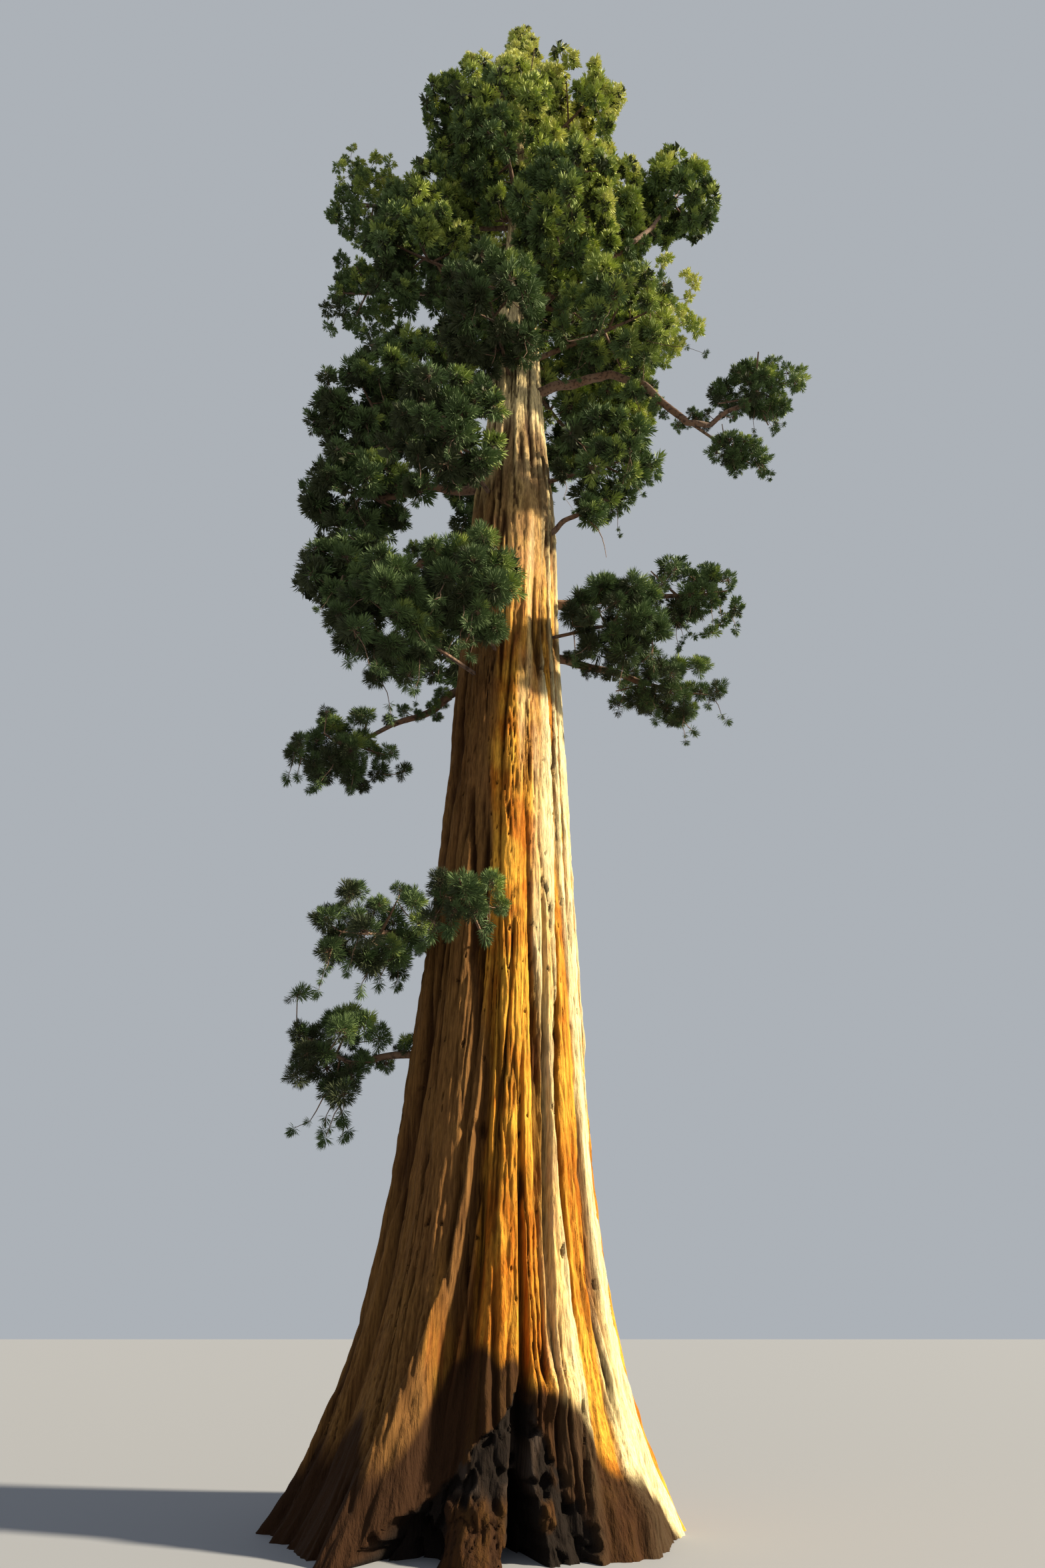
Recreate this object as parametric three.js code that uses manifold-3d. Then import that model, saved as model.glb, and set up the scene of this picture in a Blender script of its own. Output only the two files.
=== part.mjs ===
/**
 * An old giant sequoia, whole from the flat cut at the ground to its tip.
 *
 * The trunk is one solid with root flare, buttresses, furrows and the fire scars at its foot. Each bough
 * is one tapering limb. Each mass of foliage is one solid in its own space: a stem, twigs that fork by a
 * seeded rule, toothed sprays of needles and, where the crown is dense, a smaller core.
 *
 * Millimetres, +Z up. The origin is the centre of the cut at the ground, and the photograph looks along +Y.
 * The tree is held at 40 m, 0.615 of its real height, and every size below is at that scale.
 */
import * as THREE from 'three';
import { mergeVertices } from 'three/addons/utils/BufferGeometryUtils.js';
import Module from 'manifold-3d';

const wasm = await Module();
wasm.setup();

// The whole tree
const TREE_HEIGHT = 40000;
const LEAN = 320;
const LEAN_CURVE = 0.6;
const CLEARANCE = 0.3;

// The trunk: a column that tapers to its tip, a slight swelling where the crown starts, and the root flare
const TRUNK_HEIGHT = 37000;
const COLUMN_RADIUS = 906;
const COLUMN_TAPER = 1.44;
const SWELLING = { radius: 75, height: 11200, reach: 1900 };
const FLARE = { radius: 500, height: 920 };
const TRUNK_SIDES = 36;
const TRUNK_RINGS = 22;
const RING_CROWDING = 1.9;
const FLUTES = { count: 9, share: 0.022, turn: 0.00009 };

// Buttresses that swell the foot: where they stand, how far they push out and how wide they are
const BUTTRESS_HEIGHT = 780;
const BUTTRESSES = [
  { at: -172, push: 150, spread: 20 },
  { at: -132, push: 110, spread: 14 },
  { at: -94, push: 70, spread: 10 },
  { at: -48, push: 100, spread: 15 },
  { at: -8, push: 60, spread: 16 },
  { at: 38, push: 90, spread: 18 },
  { at: 84, push: 120, spread: 17 },
  { at: 134, push: 90, spread: 18 },
];

// Furrows that run up the bark: where each starts and ends, its depth and its half width in degrees
const FURROW_EASE = 0.6;
const FURROWS = [
  { at: -75, drift: 3, from: 300, to: 2700, depth: 95, spread: 5 },
  { at: -93, drift: 4, from: 500, to: 4400, depth: 60, spread: 6 },
  { at: -58, drift: -2, from: 1600, to: 5200, depth: 50, spread: 5 },
  { at: -152, drift: 5, from: 200, to: 3600, depth: 60, spread: 6 },
  { at: 12, drift: 2, from: 200, to: 3000, depth: 55, spread: 6 },
  { at: 108, drift: -3, from: 200, to: 4200, depth: 65, spread: 6 },
];

// Fire scars at the foot, each a pointed hollow: half width, depth into the wood and height
const SCARS = [
  { at: -77, halfWidth: 140, depth: 400, height: 560 },
  { at: -64, halfWidth: 300, depth: 120, height: 900 },
  { at: -111, halfWidth: 190, depth: 190, height: 330 },
];
const SCAR_SIDES = 10;
const SCAR_BELOW = 20;

// Boughs. A foot is a height on the trunk; a tip is a place round the origin's axis. Where one goes on
// from another it keeps that one's direction over the share BOUGH_LEAD of its own length.
const BOUGH_LEAD = 0.3;
const BOUGH_SIDES = 6;
const BOUGH_STEPS = 5;
const BOUGHS = [
  bough('low_left_upper_bough', { foot: 3980, tip: at(-157, 1080, 4380), radii: [46, 26], arch: 60 }),
  bough('low_left_lower_bough', { foot: 3300, tip: at(-171, 1330, 3120), radii: [48, 26], arch: 120 }),
  bough('left_hanging_bough', { foot: 8100, tip: at(178, 1330, 7380), radii: [70, 34], arch: 90 }),
  bough('left_low_bough', { foot: 11700, tip: at(172, 1900, 10330), radii: [80, 42], arch: -420 }),
  bough('left_mid_bough', { foot: 12300, tip: at(170, 2150, 12500), radii: [90, 46], arch: 180 }),
  bough('right_low_bough', { foot: 9600, tip: at(3, 2350, 9850), radii: [85, 42], arch: -130 }),
  bough('right_under_bough', { foot: 8600, tip: at(4, 1850, 8180), radii: [72, 38], arch: 150 }),
  bough('right_long_bough', { foot: 14900, tip: at(-5, 1750, 15400), radii: [90, 76], arch: 40 }),
  bough('right_long_bough_outer', { after: 'right_long_bough', tip: at(-2, 3100, 14050), radii: [72, 56] }),
  bough('right_long_bough_tip', { after: 'right_long_bough_outer', tip: at(0, 4400, 14850), radii: [54, 34] }),
  bough('upper_left_bough', { foot: 22800, tip: at(174, 2800, 24300), radii: [84, 46], arch: 200 }),
  bough('right_dead_bough', { foot: 10500, tip: at(-16, 1180, 11120), radii: [56, 34], arch: 90 }),
  bough('right_upper_bough', { foot: 18200, tip: at(-5, 3300, 21700), radii: [84, 46], arch: -520 }),
];

// Foliage that stands apart from the crown's tiers. Half sizes are across and up.
const LONE_MASSES = [
  mass('low_left_front', at(-98, 1400, 4250), { half: [460, 320], foot: 4050 }),
  mass('low_left_upper', at(-151, 1300, 4250), { half: [740, 560], host: 'low_left_upper_bough' }),
  mass('low_left_lower', at(-170, 1520, 3250), { half: [600, 700], host: 'low_left_lower_bough' }),
  mass('left_hanging', at(-179, 1880, 6900), { half: [900, 620], host: 'left_hanging_bough' }),
  mass('left_front_low', at(-126, 1880, 7600), { half: [800, 850], foot: 7800, dense: true }),
  mass('left_front_mid', at(-101, 1700, 7950), { half: [700, 850], foot: 8100, dense: true }),
  mass('left_tip_low', at(173, 2350, 10350), { half: [900, 950], host: 'left_low_bough', dense: true }),
  mass('left_mid', at(171, 2480, 12650), { half: [1150, 1200], host: 'left_mid_bough', dense: true }),
  mass('left_front_upper', at(-119, 1620, 11500), { half: [950, 1050], foot: 11300, dense: true }),
  mass('front_low', at(-98, 1400, 15100), { half: [1050, 1450], foot: 14900, dense: true }),
  mass('left_upper_low', at(172, 2500, 15000), { half: [1400, 1250], foot: 14400, dense: true }),
  mass('right_low_outer', at(2, 2800, 9850), { half: [950, 780], host: 'right_low_bough' }),
  mass('right_low_inner', at(-19, 1620, 8600), { half: [760, 800], foot: 8700, dense: true }),
  mass('right_low_under', at(4, 2180, 8100), { half: [880, 720], host: 'right_under_bough' }),
  mass('right_mid_low', at(-12, 1700, 12350), { half: [950, 850], foot: 12150 }),
  mass('right_mid_back', at(36, 2650, 17200), { half: [1250, 1400], foot: 16500, dense: true }),
  mass('right_long_tip', at(0, 4600, 15250), { half: [1200, 1100], host: 'right_long_bough_tip' }),
  mass('right_long_hanging', at(2, 3950, 13400), { half: [760, 680], host: 'right_long_bough_outer' }),
  mass('upper_left', at(175, 3600, 24700), { half: [1350, 1800], host: 'upper_left_bough' }),
  mass('upper_left_low', at(175, 3200, 19700), { half: [1150, 1450], foot: 19000 }),
  mass('right_upper', at(-4, 3900, 23300), { half: [1200, 1900], host: 'right_upper_bough', dense: true }),
  mass('right_upper_back', at(17, 3400, 20100), { half: [1300, 1400], foot: 19200 }),
  mass('back_low', at(118, 2200, 11200), { half: [1200, 1300], foot: 10900, dense: true }),
  mass('back_mid', at(95, 2100, 14600), { half: [1150, 1300], foot: 14000, dense: true }),
];

// The crown's tiers round the trunk, from the lowest to the top: the masses of each stand evenly apart
const TIERS = [
  { name: 'tier_a', height: 16400, reach: 1500, half: [1350, 1650], first: -20, count: 3, step: 85 },
  { name: 'tier_b', height: 19300, reach: 1550, half: [1450, 1900], first: -62, count: 4, step: 88 },
  { name: 'tier_c', height: 22700, reach: 1500, half: [1450, 2050], first: -98, count: 4, step: 90 },
  { name: 'tier_d', height: 26300, reach: 1400, half: [1400, 2150], first: -135, count: 4, step: 90 },
  { name: 'tier_e', height: 29900, reach: 1000, half: [1250, 2200], first: -80, count: 3, step: 120 },
  { name: 'tier_f', height: 33600, reach: 560, half: [1050, 2450], first: -160, count: 2, step: 180 },
];
const TIER_DROP = 500;
// The crown is broader across the view than along it
const CROWN_BREADTH = 1.35;
const TIER_WANDER = { reach: 0.1, height: 260, size: 0.08 };
// Above this height the side of the crown that faces the sun is yellower
const LIT_HEIGHT = 12000;
const TOP = mass('top', at(45, 450, 38300), { half: [900, 1900], foot: 36700, dense: true });

// The rule by which each mass grows: shares of its half width, of the stem's radius or of the twig before
const TWIGS = {
  stemShare: 0.045,
  firstShare: 0.8,
  sideRadius: 0.7,
  belly: 0.6,
  tipShare: 0.75,
  taper: 0.5,
  reach: 0.38,
  fall: 1.75,
  fork: 1.0,
  forkAt: 0.5,
  forks: 2,
  sideShare: 0.8,
  spacing: 0.07,
};
const TWIG_COUNT = { dense: 5, open: 5 };
const SPRAY = {
  length: 0.6,
  width: 0.72,
  thickness: 0.36,
  upturn: 0.3,
  steep: 0.9,
  rib: 0.5,
  teeth: [[0.32, -1], [0.54, -0.42], [1, 0], [0.66, 0.4], [0.5, 1]],
  trials: [1, 0.85, 0.7, 0.55],
};
const CORE_SHARE = 0.74;
const CORE_ROUGHNESS = 0.16;
const CORE_SIDES = 6;
const CORE_STEPS = 4;
const CELL_GAP = 8;
const OVERHANG = 1.12;
const LIMB_MARGIN = 40;
const GOLDEN_ANGLE = Math.PI * (3 - Math.sqrt(5));
const SLIVER_SHARE = 0.02;
const HAIR = 0.02;
const GROWTH_TRIALS = 8;
const LIMB_SAMPLES = 24;
const STEM_SAMPLES = 12;

const BARK = new THREE.MeshStandardMaterial({ color: 0xa8623a, roughness: 0.92, metalness: 0 });
const LIMB_BARK = new THREE.MeshStandardMaterial({ color: 0x8a5f45, roughness: 0.9, metalness: 0 });
const DARK_GREEN = new THREE.MeshStandardMaterial({ color: 0x3c4f27, roughness: 0.8, metalness: 0 });
const YELLOW_GREEN = new THREE.MeshStandardMaterial({ color: 0x76803a, roughness: 0.8, metalness: 0 });

/** A place given by its azimuth in degrees, its reach from the upright axis and its height. */
function at(azimuth, reach, height) {
  const turn = THREE.MathUtils.degToRad(azimuth);
  return new THREE.Vector3(reach * Math.cos(turn), reach * Math.sin(turn), height);
}

function bough(name, sizes) {
  return { name, ...sizes };
}

function mass(name, centre, sizes) {
  return { name, centre, host: 'trunk', dense: false, ...sizes };
}

/** Numbers from 0 to 1 that are the same on every run. */
function seeded(seed) {
  let state = seed >>> 0;
  return () => {
    state = (Math.imul(state, 1664525) + 1013904223) >>> 0;
    return state / 4294967296;
  };
}

/** A smooth hump, 1 at the middle, that fades over the given spread in degrees. */
function hump(angle, middle, spread) {
  const turn = angle - THREE.MathUtils.degToRad(middle);
  const apart = THREE.MathUtils.radToDeg(Math.atan2(Math.sin(turn), Math.cos(turn)));
  return Math.exp(-((apart / spread) ** 2));
}

function trunkAxis(height) {
  return new THREE.Vector3(LEAN * (height / TREE_HEIGHT) ** LEAN_CURVE, 0, height);
}

/** The trunk's mean radius at a height. */
function trunkRadius(height) {
  const column = COLUMN_RADIUS * (1 - height / TREE_HEIGHT) ** COLUMN_TAPER;
  const swelling = SWELLING.radius * Math.exp(-(((height - SWELLING.height) / SWELLING.reach) ** 2));
  return column + swelling + FLARE.radius * Math.exp(-height / FLARE.height);
}

/** The bark's distance from the axis, with flutes, buttresses and furrows. */
function barkRadius(angle, height) {
  const mean = trunkRadius(height);
  const flutes = mean * FLUTES.share * Math.cos(FLUTES.count * (angle + FLUTES.turn * height));
  const fade = Math.exp(-height / BUTTRESS_HEIGHT);
  const buttresses = BUTTRESSES.reduce((sum, b) => sum + b.push * hump(angle, b.at, b.spread) * fade, 0);
  const furrows = FURROWS.reduce((sum, f) => {
    const share = (height - f.from) / (f.to - f.from);
    const depth = share > 0 && share < 1 ? f.depth * Math.sin(Math.PI * share) ** FURROW_EASE : 0;
    return sum + depth * hump(angle, f.at + f.drift * share, f.spread);
  }, 0);
  return mean + flutes + buttresses - furrows;
}

/** A closed solid from a geometry, its shared corners merged. */
function solid(geometry) {
  geometry.deleteAttribute('normal');
  geometry.deleteAttribute('uv');
  const merged = mergeVertices(geometry, 0.01);
  return new wasm.Manifold(new wasm.Mesh({
    numProp: 3,
    vertProperties: new Float32Array(merged.attributes.position.array),
    triVerts: new Uint32Array(merged.index.array),
  }));
}

/** Moves every corner of a geometry to where the rule sends it. */
function reshape(geometry, rule) {
  const corners = geometry.attributes.position;
  const corner = new THREE.Vector3();
  for (let i = 0; i < corners.count; i += 1) {
    const place = rule(corner.fromBufferAttribute(corners, i));
    corners.setXYZ(i, place.x, place.y, place.z);
  }
  return geometry;
}

/** The trunk as a displaced cylinder, grown by a margin when it is used to cut. */
function trunkSolid(margin) {
  const blank = new THREE.CylinderGeometry(1, 1, 1, TRUNK_SIDES, TRUNK_RINGS);
  return solid(reshape(blank, (corner) => {
    const height = TRUNK_HEIGHT * (corner.y + 0.5) ** RING_CROWDING;
    const angle = Math.atan2(corner.z, corner.x);
    const onAxis = Math.hypot(corner.x, corner.z) < 0.5;
    const radius = onAxis ? 0 : barkRadius(angle, height) + margin;
    const place = trunkAxis(height);
    // The cylinder's axis is Y; taking its Z as the model's -Y keeps the faces pointing out
    return place.add(new THREE.Vector3(radius * Math.cos(-angle), radius * Math.sin(-angle), 0));
  }));
}

/** The pointed hollow that a fire left: a cone flattened to its width and depth. */
function scarSolid(scar) {
  const blank = new THREE.ConeGeometry(1, scar.height + SCAR_BELOW, SCAR_SIDES);
  const turn = THREE.MathUtils.degToRad(scar.at);
  const foot = at(scar.at, barkRadius(turn, 0), scar.height / 2 - SCAR_BELOW / 2);
  blank.rotateX(Math.PI / 2);
  blank.scale(scar.depth, scar.halfWidth, 1);
  blank.rotateZ(turn);
  blank.translate(foot.x, foot.y, foot.z);
  return solid(blank);
}

/** A tapering limb along a curve, with its steps square to the curve. */
function limbSolid(curve, radii, sides, steps, margin) {
  const blank = new THREE.CylinderGeometry(1, 1, 1, sides, steps);
  return solid(reshape(blank, (corner) => {
    const share = 0.5 - corner.y;
    const radius = THREE.MathUtils.lerp(radii[0], radii[1], share) + margin;
    const along = curve.getTangent(share);
    const side = new THREE.Vector3(0, 0, 1).cross(along).normalize();
    const up = along.clone().cross(side);
    const pastEnd = margin * (Math.round(share) === share ? 2 * share - 1 : 0);
    return curve.getPoint(share).addScaledVector(along, pastEnd)
      .addScaledVector(side, corner.x * radius).addScaledVector(up, corner.z * radius);
  }));
}

/** The curve of a bough, from the trunk's axis or on from the bough before it. */
function boughCurve(row, curves) {
  if (row.after) {
    const before = curves.get(row.after);
    const along = before.getTangent(1);
    const start = before.getPoint(1).addScaledVector(along, CLEARANCE);
    const lead = start.distanceTo(row.tip) * BOUGH_LEAD;
    return new THREE.QuadraticBezierCurve3(start, start.clone().addScaledVector(along, lead), row.tip);
  }
  const start = trunkAxis(row.foot);
  const middle = start.clone().lerp(row.tip, 0.5).add(new THREE.Vector3(0, 0, row.arch));
  return new THREE.QuadraticBezierCurve3(start, middle, row.tip);
}

/** The masses of one tier, each moved a little by the seed. */
function tierMasses(tier, index) {
  const random = seeded(71 + index);
  const wander = (share) => 1 + share * (2 * random() - 1);
  return Array.from({ length: tier.count }, (_, i) => {
    const reach = tier.reach * wander(TIER_WANDER.reach);
    const height = tier.height + TIER_WANDER.height * (2 * random() - 1);
    const size = wander(TIER_WANDER.size);
    const centre = at(tier.first + tier.step * i, reach, height);
    centre.x = centre.x * CROWN_BREADTH + trunkAxis(height).x;
    const half = tier.half.map((value) => value * size);
    return mass(`${tier.name}_${i + 1}`, centre, { half, foot: height - TIER_DROP, dense: true });
  });
}

/** How far a mass reaches from its centre in a direction, before any neighbour is counted. */
function ownReach(row, direction) {
  const [across, up] = row.half;
  return 1 / Math.hypot(direction.x / across, direction.y / across, direction.z / up);
}

/** The planes that part a mass from its neighbours, each at the share of the way that its size gives it. */
function partingPlanes(row, rows) {
  return rows.filter((other) => other !== row).map((other) => {
    const normal = other.centre.clone().sub(row.centre);
    const apart = normal.length();
    normal.divideScalar(apart);
    const mine = ownReach(row, normal);
    const theirs = ownReach(other, normal);
    return { normal, limit: (apart * mine) / (mine + theirs) - CELL_GAP, binds: mine + theirs > apart };
  }).filter((plane) => plane.binds);
}

/** How far the space of a mass goes in a direction. */
function reachIn(row, direction) {
  return row.planes.reduce((reach, plane) => {
    const slope = plane.normal.dot(direction);
    return slope > 0 ? Math.min(reach, plane.limit / slope) : reach;
  }, ownReach(row, direction));
}

function insideSpace(row, point) {
  const offset = point.clone().sub(row.centre);
  const [across, up] = row.half;
  const inOwn = Math.hypot(offset.x / across, offset.y / across, offset.z / up) <= OVERHANG;
  const inCell = row.planes.every((plane) => plane.normal.dot(offset) <= plane.limit);
  return inOwn && inCell && point.z <= TREE_HEIGHT;
}

function clearOfLimbs(point, limbs) {
  const height = Math.min(point.z, TRUNK_HEIGHT);
  const fromTrunk = Math.hypot(point.x - trunkAxis(height).x, point.y);
  const clearOfTrunk = point.z > TRUNK_HEIGHT || fromTrunk > trunkRadius(height) + LIMB_MARGIN;
  return clearOfTrunk && limbs.every((limb) => limb.samples.every((sample) => (
    sample.distanceTo(point) > limb.radii[0] + LIMB_MARGIN)));
}

/** The straight stem of a mass, from inside the limb that bears it to its centre. */
function stemOf(row, curves) {
  const host = BOUGHS.find(({ name }) => name === row.host);
  const start = host ? nearestOn(curves.get(row.host), row.centre) : trunkAxis(row.foot);
  const curve = new THREE.LineCurve3(start, row.centre);
  const widest = host ? host.radii[1] * TWIGS.tipShare : Infinity;
  const radius = Math.min(row.half[0] * TWIGS.stemShare, widest);
  return { curve, radii: [radius, radius * TWIGS.taper], samples: curve.getPoints(STEM_SAMPLES) };
}

/** A three-sided stem as a solid, grown by a margin when it is used to cut. */
function stemSolid(stem, margin) {
  return limbSolid(stem.curve, stem.radii, 3, 1, margin);
}

/** The place on a bough, just short of its tip at the furthest, that is nearest to a mass. */
function nearestOn(curve, centre) {
  return curve.getPoints(LIMB_SAMPLES).slice(0, -1).reduce((best, point) => (
    point.distanceTo(centre) < best.distanceTo(centre) ? point : best));
}

/** A three-sided twig that opens into a spray of needles, a toothed blade thickest along its rib. */
function twigWithSpray(start, end, radii, heading, length, roll) {
  const along = end.clone().sub(start).normalize();
  const side = new THREE.Vector3(0, 0, 1).cross(along).normalize().applyAxisAngle(along, roll);
  const face = along.clone().cross(side);
  const ring = (centre, radius) => [-1, 1].map((way) => centre.clone()
    .addScaledVector(side, way * radius).addScaledVector(face, radius * TWIGS.belly))
    .concat(centre.clone().addScaledVector(face, -radius));
  const bladeSide = face.clone().cross(heading).normalize();
  const bladeFace = heading.clone().cross(bladeSide);
  const place = (forward, across, out) => end.clone()
    .addScaledVector(heading, forward * length)
    .addScaledVector(bladeSide, across * length * SPRAY.width)
    .addScaledVector(bladeFace, out * length * SPRAY.thickness);
  const teeth = SPRAY.teeth.map(([forward, across]) => place(forward, across, 0));
  const rib = [place(SPRAY.rib, 0, 0.5), place(SPRAY.rib, 0, -0.5)];
  const corners = [...ring(start, radii[0]), ...ring(end, radii[1]), ...teeth, ...rib];
  return { corners, tips: corners.slice(6) };
}

/** The faces over the corners of a twig and its spray, as one closed solid. */
function twigSpraySolid({ corners }) {
  const front = corners.length - 2;
  const back = corners.length - 1;
  const rim = [3, ...SPRAY.teeth.map((_, i) => 6 + i), 4];
  const stalk = [0, 1, 2, 0, 4, 1, 0, 3, 4, 1, 5, 2, 1, 4, 5, 2, 3, 0, 2, 5, 3];
  const faces = [...stalk, 4, 3, front, 3, 5, back, 5, 4, back];
  rim.slice(1).forEach((corner, i) => {
    faces.push(rim[i], corner, front, corner, rim[i], back);
  });
  const geometry = new THREE.BufferGeometry().setFromPoints(corners);
  geometry.setIndex(faces);
  return solid(geometry);
}

/** The dense heart of a mass, a rough ball well inside its space. */
function coreSolid(row, random) {
  const blank = new THREE.SphereGeometry(1, CORE_SIDES, CORE_STEPS);
  blank.deleteAttribute('normal');
  blank.deleteAttribute('uv');
  return solid(reshape(mergeVertices(blank, 0.01), (corner) => {
    const direction = corner.clone().normalize();
    const share = CORE_SHARE * (1 + CORE_ROUGHNESS * (2 * random() - 1));
    return direction.multiplyScalar(reachIn(row, direction) * share).add(row.centre);
  }));
}

/** One twig with its spray and, from the first fork, a side twig with a spray of its own. */
function growTwig(row, limbs, start, direction, length, radius, level, random) {
  const end = start.clone().addScaledVector(direction, length);
  const outward = end.clone().sub(row.centre).normalize();
  const upturn = new THREE.Vector3(0, 0, level === 0 || outward.z < SPRAY.steep ? SPRAY.upturn : 0);
  const heading = direction.clone().lerp(outward, 0.5).add(upturn).normalize();
  const room = reachIn(row, outward) * SPRAY.length;
  const roll = (random() - 0.5) * Math.PI;
  // A spray that would leave the space or touch a limb is tried shorter, and then left out with its twig
  const fits = (twig) => twig.tips.every((tip) => insideSpace(row, tip) && clearOfLimbs(tip, limbs));
  const radii = [radius, radius * TWIGS.taper];
  const twig = SPRAY.trials
    .map((share) => twigWithSpray(start, end, radii, heading, room * share, roll))
    .find(fits);
  const pieces = twig ? [twigSpraySolid(twig)] : [];
  if (level === 0 || !twig) {
    return pieces;
  }
  const fork = start.clone().lerp(end, TWIGS.forkAt);
  const anyWay = new THREE.Vector3(random() - 0.5, random() - 0.5, random() - 0.5);
  const axis = anyWay.cross(direction).normalize();
  const turned = direction.clone().applyAxisAngle(axis, TWIGS.fork);
  const sideLength = length * TWIGS.sideShare;
  const sideRadius = radius * TWIGS.sideRadius;
  return [...pieces, ...growTwig(row, limbs, fork, turned, sideLength, sideRadius, level - 1, random)];
}

/** A mass of foliage: stem, twigs, sprays and core fused. */
function massSolid(row, limbs, seed) {
  const random = seeded(seed);
  const count = row.dense ? TWIG_COUNT.dense : TWIG_COUNT.open;
  const radius = row.stem.radii[0];
  const lead = row.stem.curve.getTangent(1);
  const turnToLead = new THREE.Quaternion().setFromUnitVectors(new THREE.Vector3(0, 0, 1), lead);
  const twigs = Array.from({ length: count }, (_, i) => {
    // The first twig leads straight on from the stem, the others stand round it down to its sides
    const rise = 1 - (TWIGS.fall * i) / (count - 1);
    const turn = GOLDEN_ANGLE * i + seed;
    const round = Math.sqrt(1 - rise * rise);
    const direction = new THREE.Vector3(round * Math.cos(turn), round * Math.sin(turn), rise)
      .applyQuaternion(turnToLead);
    const start = row.centre.clone().addScaledVector(lead, -i * TWIGS.spacing * row.half[0]);
    const length = reachIn(row, direction) * TWIGS.reach;
    const level = i > 0 && i <= TWIGS.forks ? 1 : 0;
    return growTwig(row, limbs, start, direction, length, radius * TWIGS.firstShare, level, random);
  }).flat();
  const core = row.dense ? [coreSolid(row, random)] : [];
  return wasm.Manifold.union([stemSolid(row.stem, 0), ...core, ...twigs]);
}

/** Whether the stem of another mass comes through the space of this one. */
function passesThrough(stem, row) {
  return stem.samples.some((sample) => sample.distanceTo(row.centre) < row.half[0] + row.half[1]);
}

/** The largest body of a solid, without the loose scraps and hair-thin faces that a cut leaves. */
function mainBody(body) {
  return body.simplify(CLEARANCE / 3).decompose().sort((a, b) => b.volume() - a.volume())[0];
}

/** Whether no two corners of a body meet and none of its edges is hair-thin. */
function isSound(body) {
  const { vertProperties, triVerts } = body.getMesh();
  const corner = (i) => new THREE.Vector3().fromArray(vertProperties, i * 3);
  const places = new Set();
  for (let i = 0; i < vertProperties.length / 3; i += 1) {
    places.add(corner(i).toArray().map((value) => value.toFixed(2)).join());
  }
  const edges = Array.from(triVerts, (start, i) => [start, triVerts[i % 3 === 2 ? i - 2 : i + 1]]);
  return places.size === vertProperties.length / 3
    && edges.every(([start, end]) => corner(start).distanceTo(corner(end)) > HAIR);
}

function meshOf(name, body, material) {
  const { vertProperties, triVerts } = body.getMesh();
  const geometry = new THREE.BufferGeometry();
  geometry.setAttribute('position', new THREE.BufferAttribute(vertProperties, 3));
  geometry.setIndex(new THREE.BufferAttribute(triVerts, 1));
  geometry.computeVertexNormals();
  const mesh = new THREE.Mesh(geometry, material);
  mesh.name = name;
  return mesh;
}

function buildTree() {
  const tree = new THREE.Group();
  const scars = SCARS.map(scarSolid);
  tree.add(meshOf('trunk', mainBody(trunkSolid(0).subtract(wasm.Manifold.union(scars))), BARK));
  const keepOff = [trunkSolid(CLEARANCE * 2)];

  const curves = new Map();
  const limbs = BOUGHS.map((row) => {
    const curve = boughCurve(row, curves);
    curves.set(row.name, curve);
    const body = limbSolid(curve, row.radii, BOUGH_SIDES, BOUGH_STEPS, 0).subtract(keepOff[0]);
    tree.add(meshOf(row.name, mainBody(body), LIMB_BARK));
    return { ...row, curve, samples: curve.getPoints(LIMB_SAMPLES) };
  });
  limbs.forEach((limb) => {
    keepOff.push(limbSolid(limb.curve, limb.radii, BOUGH_SIDES, BOUGH_STEPS, CLEARANCE * 2));
  });

  const rows = [...LONE_MASSES, ...TIERS.flatMap(tierMasses), TOP];
  rows.forEach((row) => {
    row.planes = partingPlanes(row, rows);
    row.stem = stemOf(row, curves);
  });
  rows.forEach((row, i) => {
    const passing = rows.filter((other) => other !== row && passesThrough(other.stem, row))
      .map(({ stem }) => stem);
    const inflated = passing.map((stem) => stemSolid(stem, CLEARANCE * 2));
    const clear = wasm.Manifold.union([...keepOff, ...inflated]);
    const grow = (seed) => {
      const fused = massSolid(row, [...limbs, ...passing], seed).simplify(row.half[0] * SLIVER_SHARE);
      return mainBody(fused.subtract(clear));
    };
    // A mass that touches itself or has a hair-thin face is grown again from another seed
    let body = grow(i + 1);
    for (let trial = 1; trial < GROWTH_TRIALS && !isSound(body); trial += 1) {
      body.delete();
      body = grow(i + 1 + trial * rows.length);
    }
    const lit = row.centre.x > 0 && row.centre.z > LIT_HEIGHT;
    tree.add(meshOf(row.name, body, lit ? YELLOW_GREEN : DARK_GREEN));
  });
  return tree;
}

export default buildTree();
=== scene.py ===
"""A giant sequoia dressed round its solids: furrowed bark, fire scars, boughs, twigs and sprays of needles.

Metres, +Z up, the origin at the centre of the flat cut under the trunk; the photograph looks along +Y. The
tree stands 39.9 m tall, 0.615 of its estimated height, and every size below is at that scale. The rules by
which the trunk, the boughs and the masses of foliage get their shape are those of the solids, carried on here
to the bark's relief, to finer twigs and to sprays of needles. The short shoots along the trunk in the crown
have no solid of their own.
"""

import logging
import math
from dataclasses import dataclass, field
from enum import Enum
from typing import Any

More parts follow.
